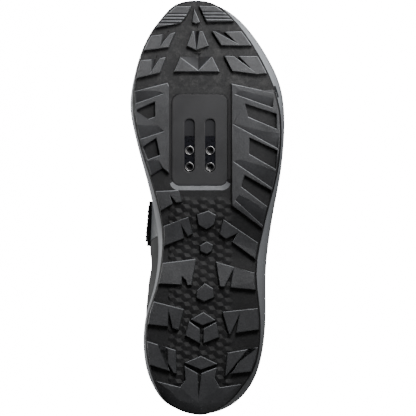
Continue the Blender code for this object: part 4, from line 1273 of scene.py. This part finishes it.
STRAP_ROUND = 0.3 * MM
webbing = cloth_material("strap_webbing", (0.014, 0.014, 0.015), 1.6 * MM, 0.72, 0.1, 0.45, 0.3)
strap_seams = bmesh.new()
for node in ("strap_instep", "strap_middle", "strap_toe"):
    band = copied(node)
    bordered(strap_seams, band)
    band = rounded_edges(band, STRAP_ROUND, 60)
    finish_piece(node + "_web", band, [webbing], (node,))
finish_piece("strap_seams", strap_seams, [grey_thread])
LOOP_GRAIN = (1800.0, 3.0, 0.04, 0.4)
loop_plastic = plain_material("loop_plastic", (0.020, 0.020, 0.022), 0.3, 0.38, LOOP_GRAIN)
loop = rounded_edges(copied("strap_loop"), STRAP_ROUND, 50)
finish_piece("loop_body", loop, [loop_plastic], ("strap_loop",))


# Stage
# A pale floor, four soft lights and a camera square to the sole, turned so that the toe is up. The
# floor and the world are white to the camera and much dimmer to the shoe.

PHOTO_SPAN = 0.2818
LENS = 350.0
SENSOR = 36.0
FRAME_CENTRE = Vector((0.1405, 0.0020, 0.0050))

FLOOR_GLOW = 0.10
BACKDROP = 16.0
AMBIENT = 0.03


def glow(tree, to_shoe_only):
    """A strength of light that is the backdrop's to the camera and this much to the shoe."""
    seen = tree.nodes.new("ShaderNodeLightPath").outputs["Is Camera Ray"]
    return math_node(tree, "ADD", math_node(tree, "MULTIPLY", seen, BACKDROP), to_shoe_only)


floor_mesh = bmesh.new()
bmesh.ops.create_grid(floor_mesh, x_segments=1, y_segments=1, size=6.0)
floor = as_object(floor_mesh, "floor")
floor_paint, floor_tree, floor_shader, _ = new_material("floor_paint")
floor_shader.inputs["Base Color"].default_value = (0.40, 0.40, 0.40, 1.0)
floor_shader.inputs["Roughness"].default_value = 0.9
floor_shader.inputs["Emission Color"].default_value = (1.0, 1.0, 1.0, 1.0)
floor_tree.links.new(glow(floor_tree, FLOOR_GLOW), floor_shader.inputs["Emission Strength"])
floor.data.materials.append(floor_paint)

world = bpy.data.worlds.new("studio")
bpy.context.scene.world = world
world.use_nodes = True
backdrop = world.node_tree.nodes["Background"]
backdrop.inputs["Color"].default_value = (1.0, 1.0, 1.0, 1.0)
world.node_tree.links.new(glow(world.node_tree, AMBIENT), backdrop.inputs["Strength"])

look = -(turned @ UP)
centre = to_world @ FRAME_CENTRE
distance = PHOTO_SPAN * LENS / SENSOR
camera_data = bpy.data.cameras.new("camera")
camera_data.lens = LENS
camera_data.sensor_width = SENSOR
camera = bpy.data.objects.new("camera", camera_data)
bpy.context.scene.collection.objects.link(camera)
camera_axes = Matrix((outer_way, toe_way, look)).transposed()
camera.matrix_world = Matrix.Translation(centre + look * distance) @ camera_axes.to_4x4()
bpy.context.scene.camera = camera


def area_light(name, place, aim, size, power):
    """A soft square light that shines at a point."""
    data = bpy.data.lights.new(name, "AREA")
    data.size = size
    data.energy = power
    light = bpy.data.objects.new(name, data)
    bpy.context.scene.collection.objects.link(light)
    light.location = place
    light.rotation_euler = (Vector(aim) - Vector(place)).to_track_quat("-Z", "Y").to_euler()
    return light


# Each light's name, place, aim, size and power. The last stands in for light off the floor.
LIGHTS = (
    ("toe_light", (0.72, -0.95, 0.14), centre, 0.25, 6.6),
    ("heel_light", (0.50, -0.95, 0.10), (-0.09, 0.0, 0.05), 0.22, 3.0),
    ("top_light", (0.15, 0.55, 1.05), centre, 0.8, 15.0),
    ("floor_light", (0.14, -0.16, 0.004), (0.14, -0.16, 1.0), 0.20, 0.30),
)
for light_row in LIGHTS:
    area_light(*light_row)
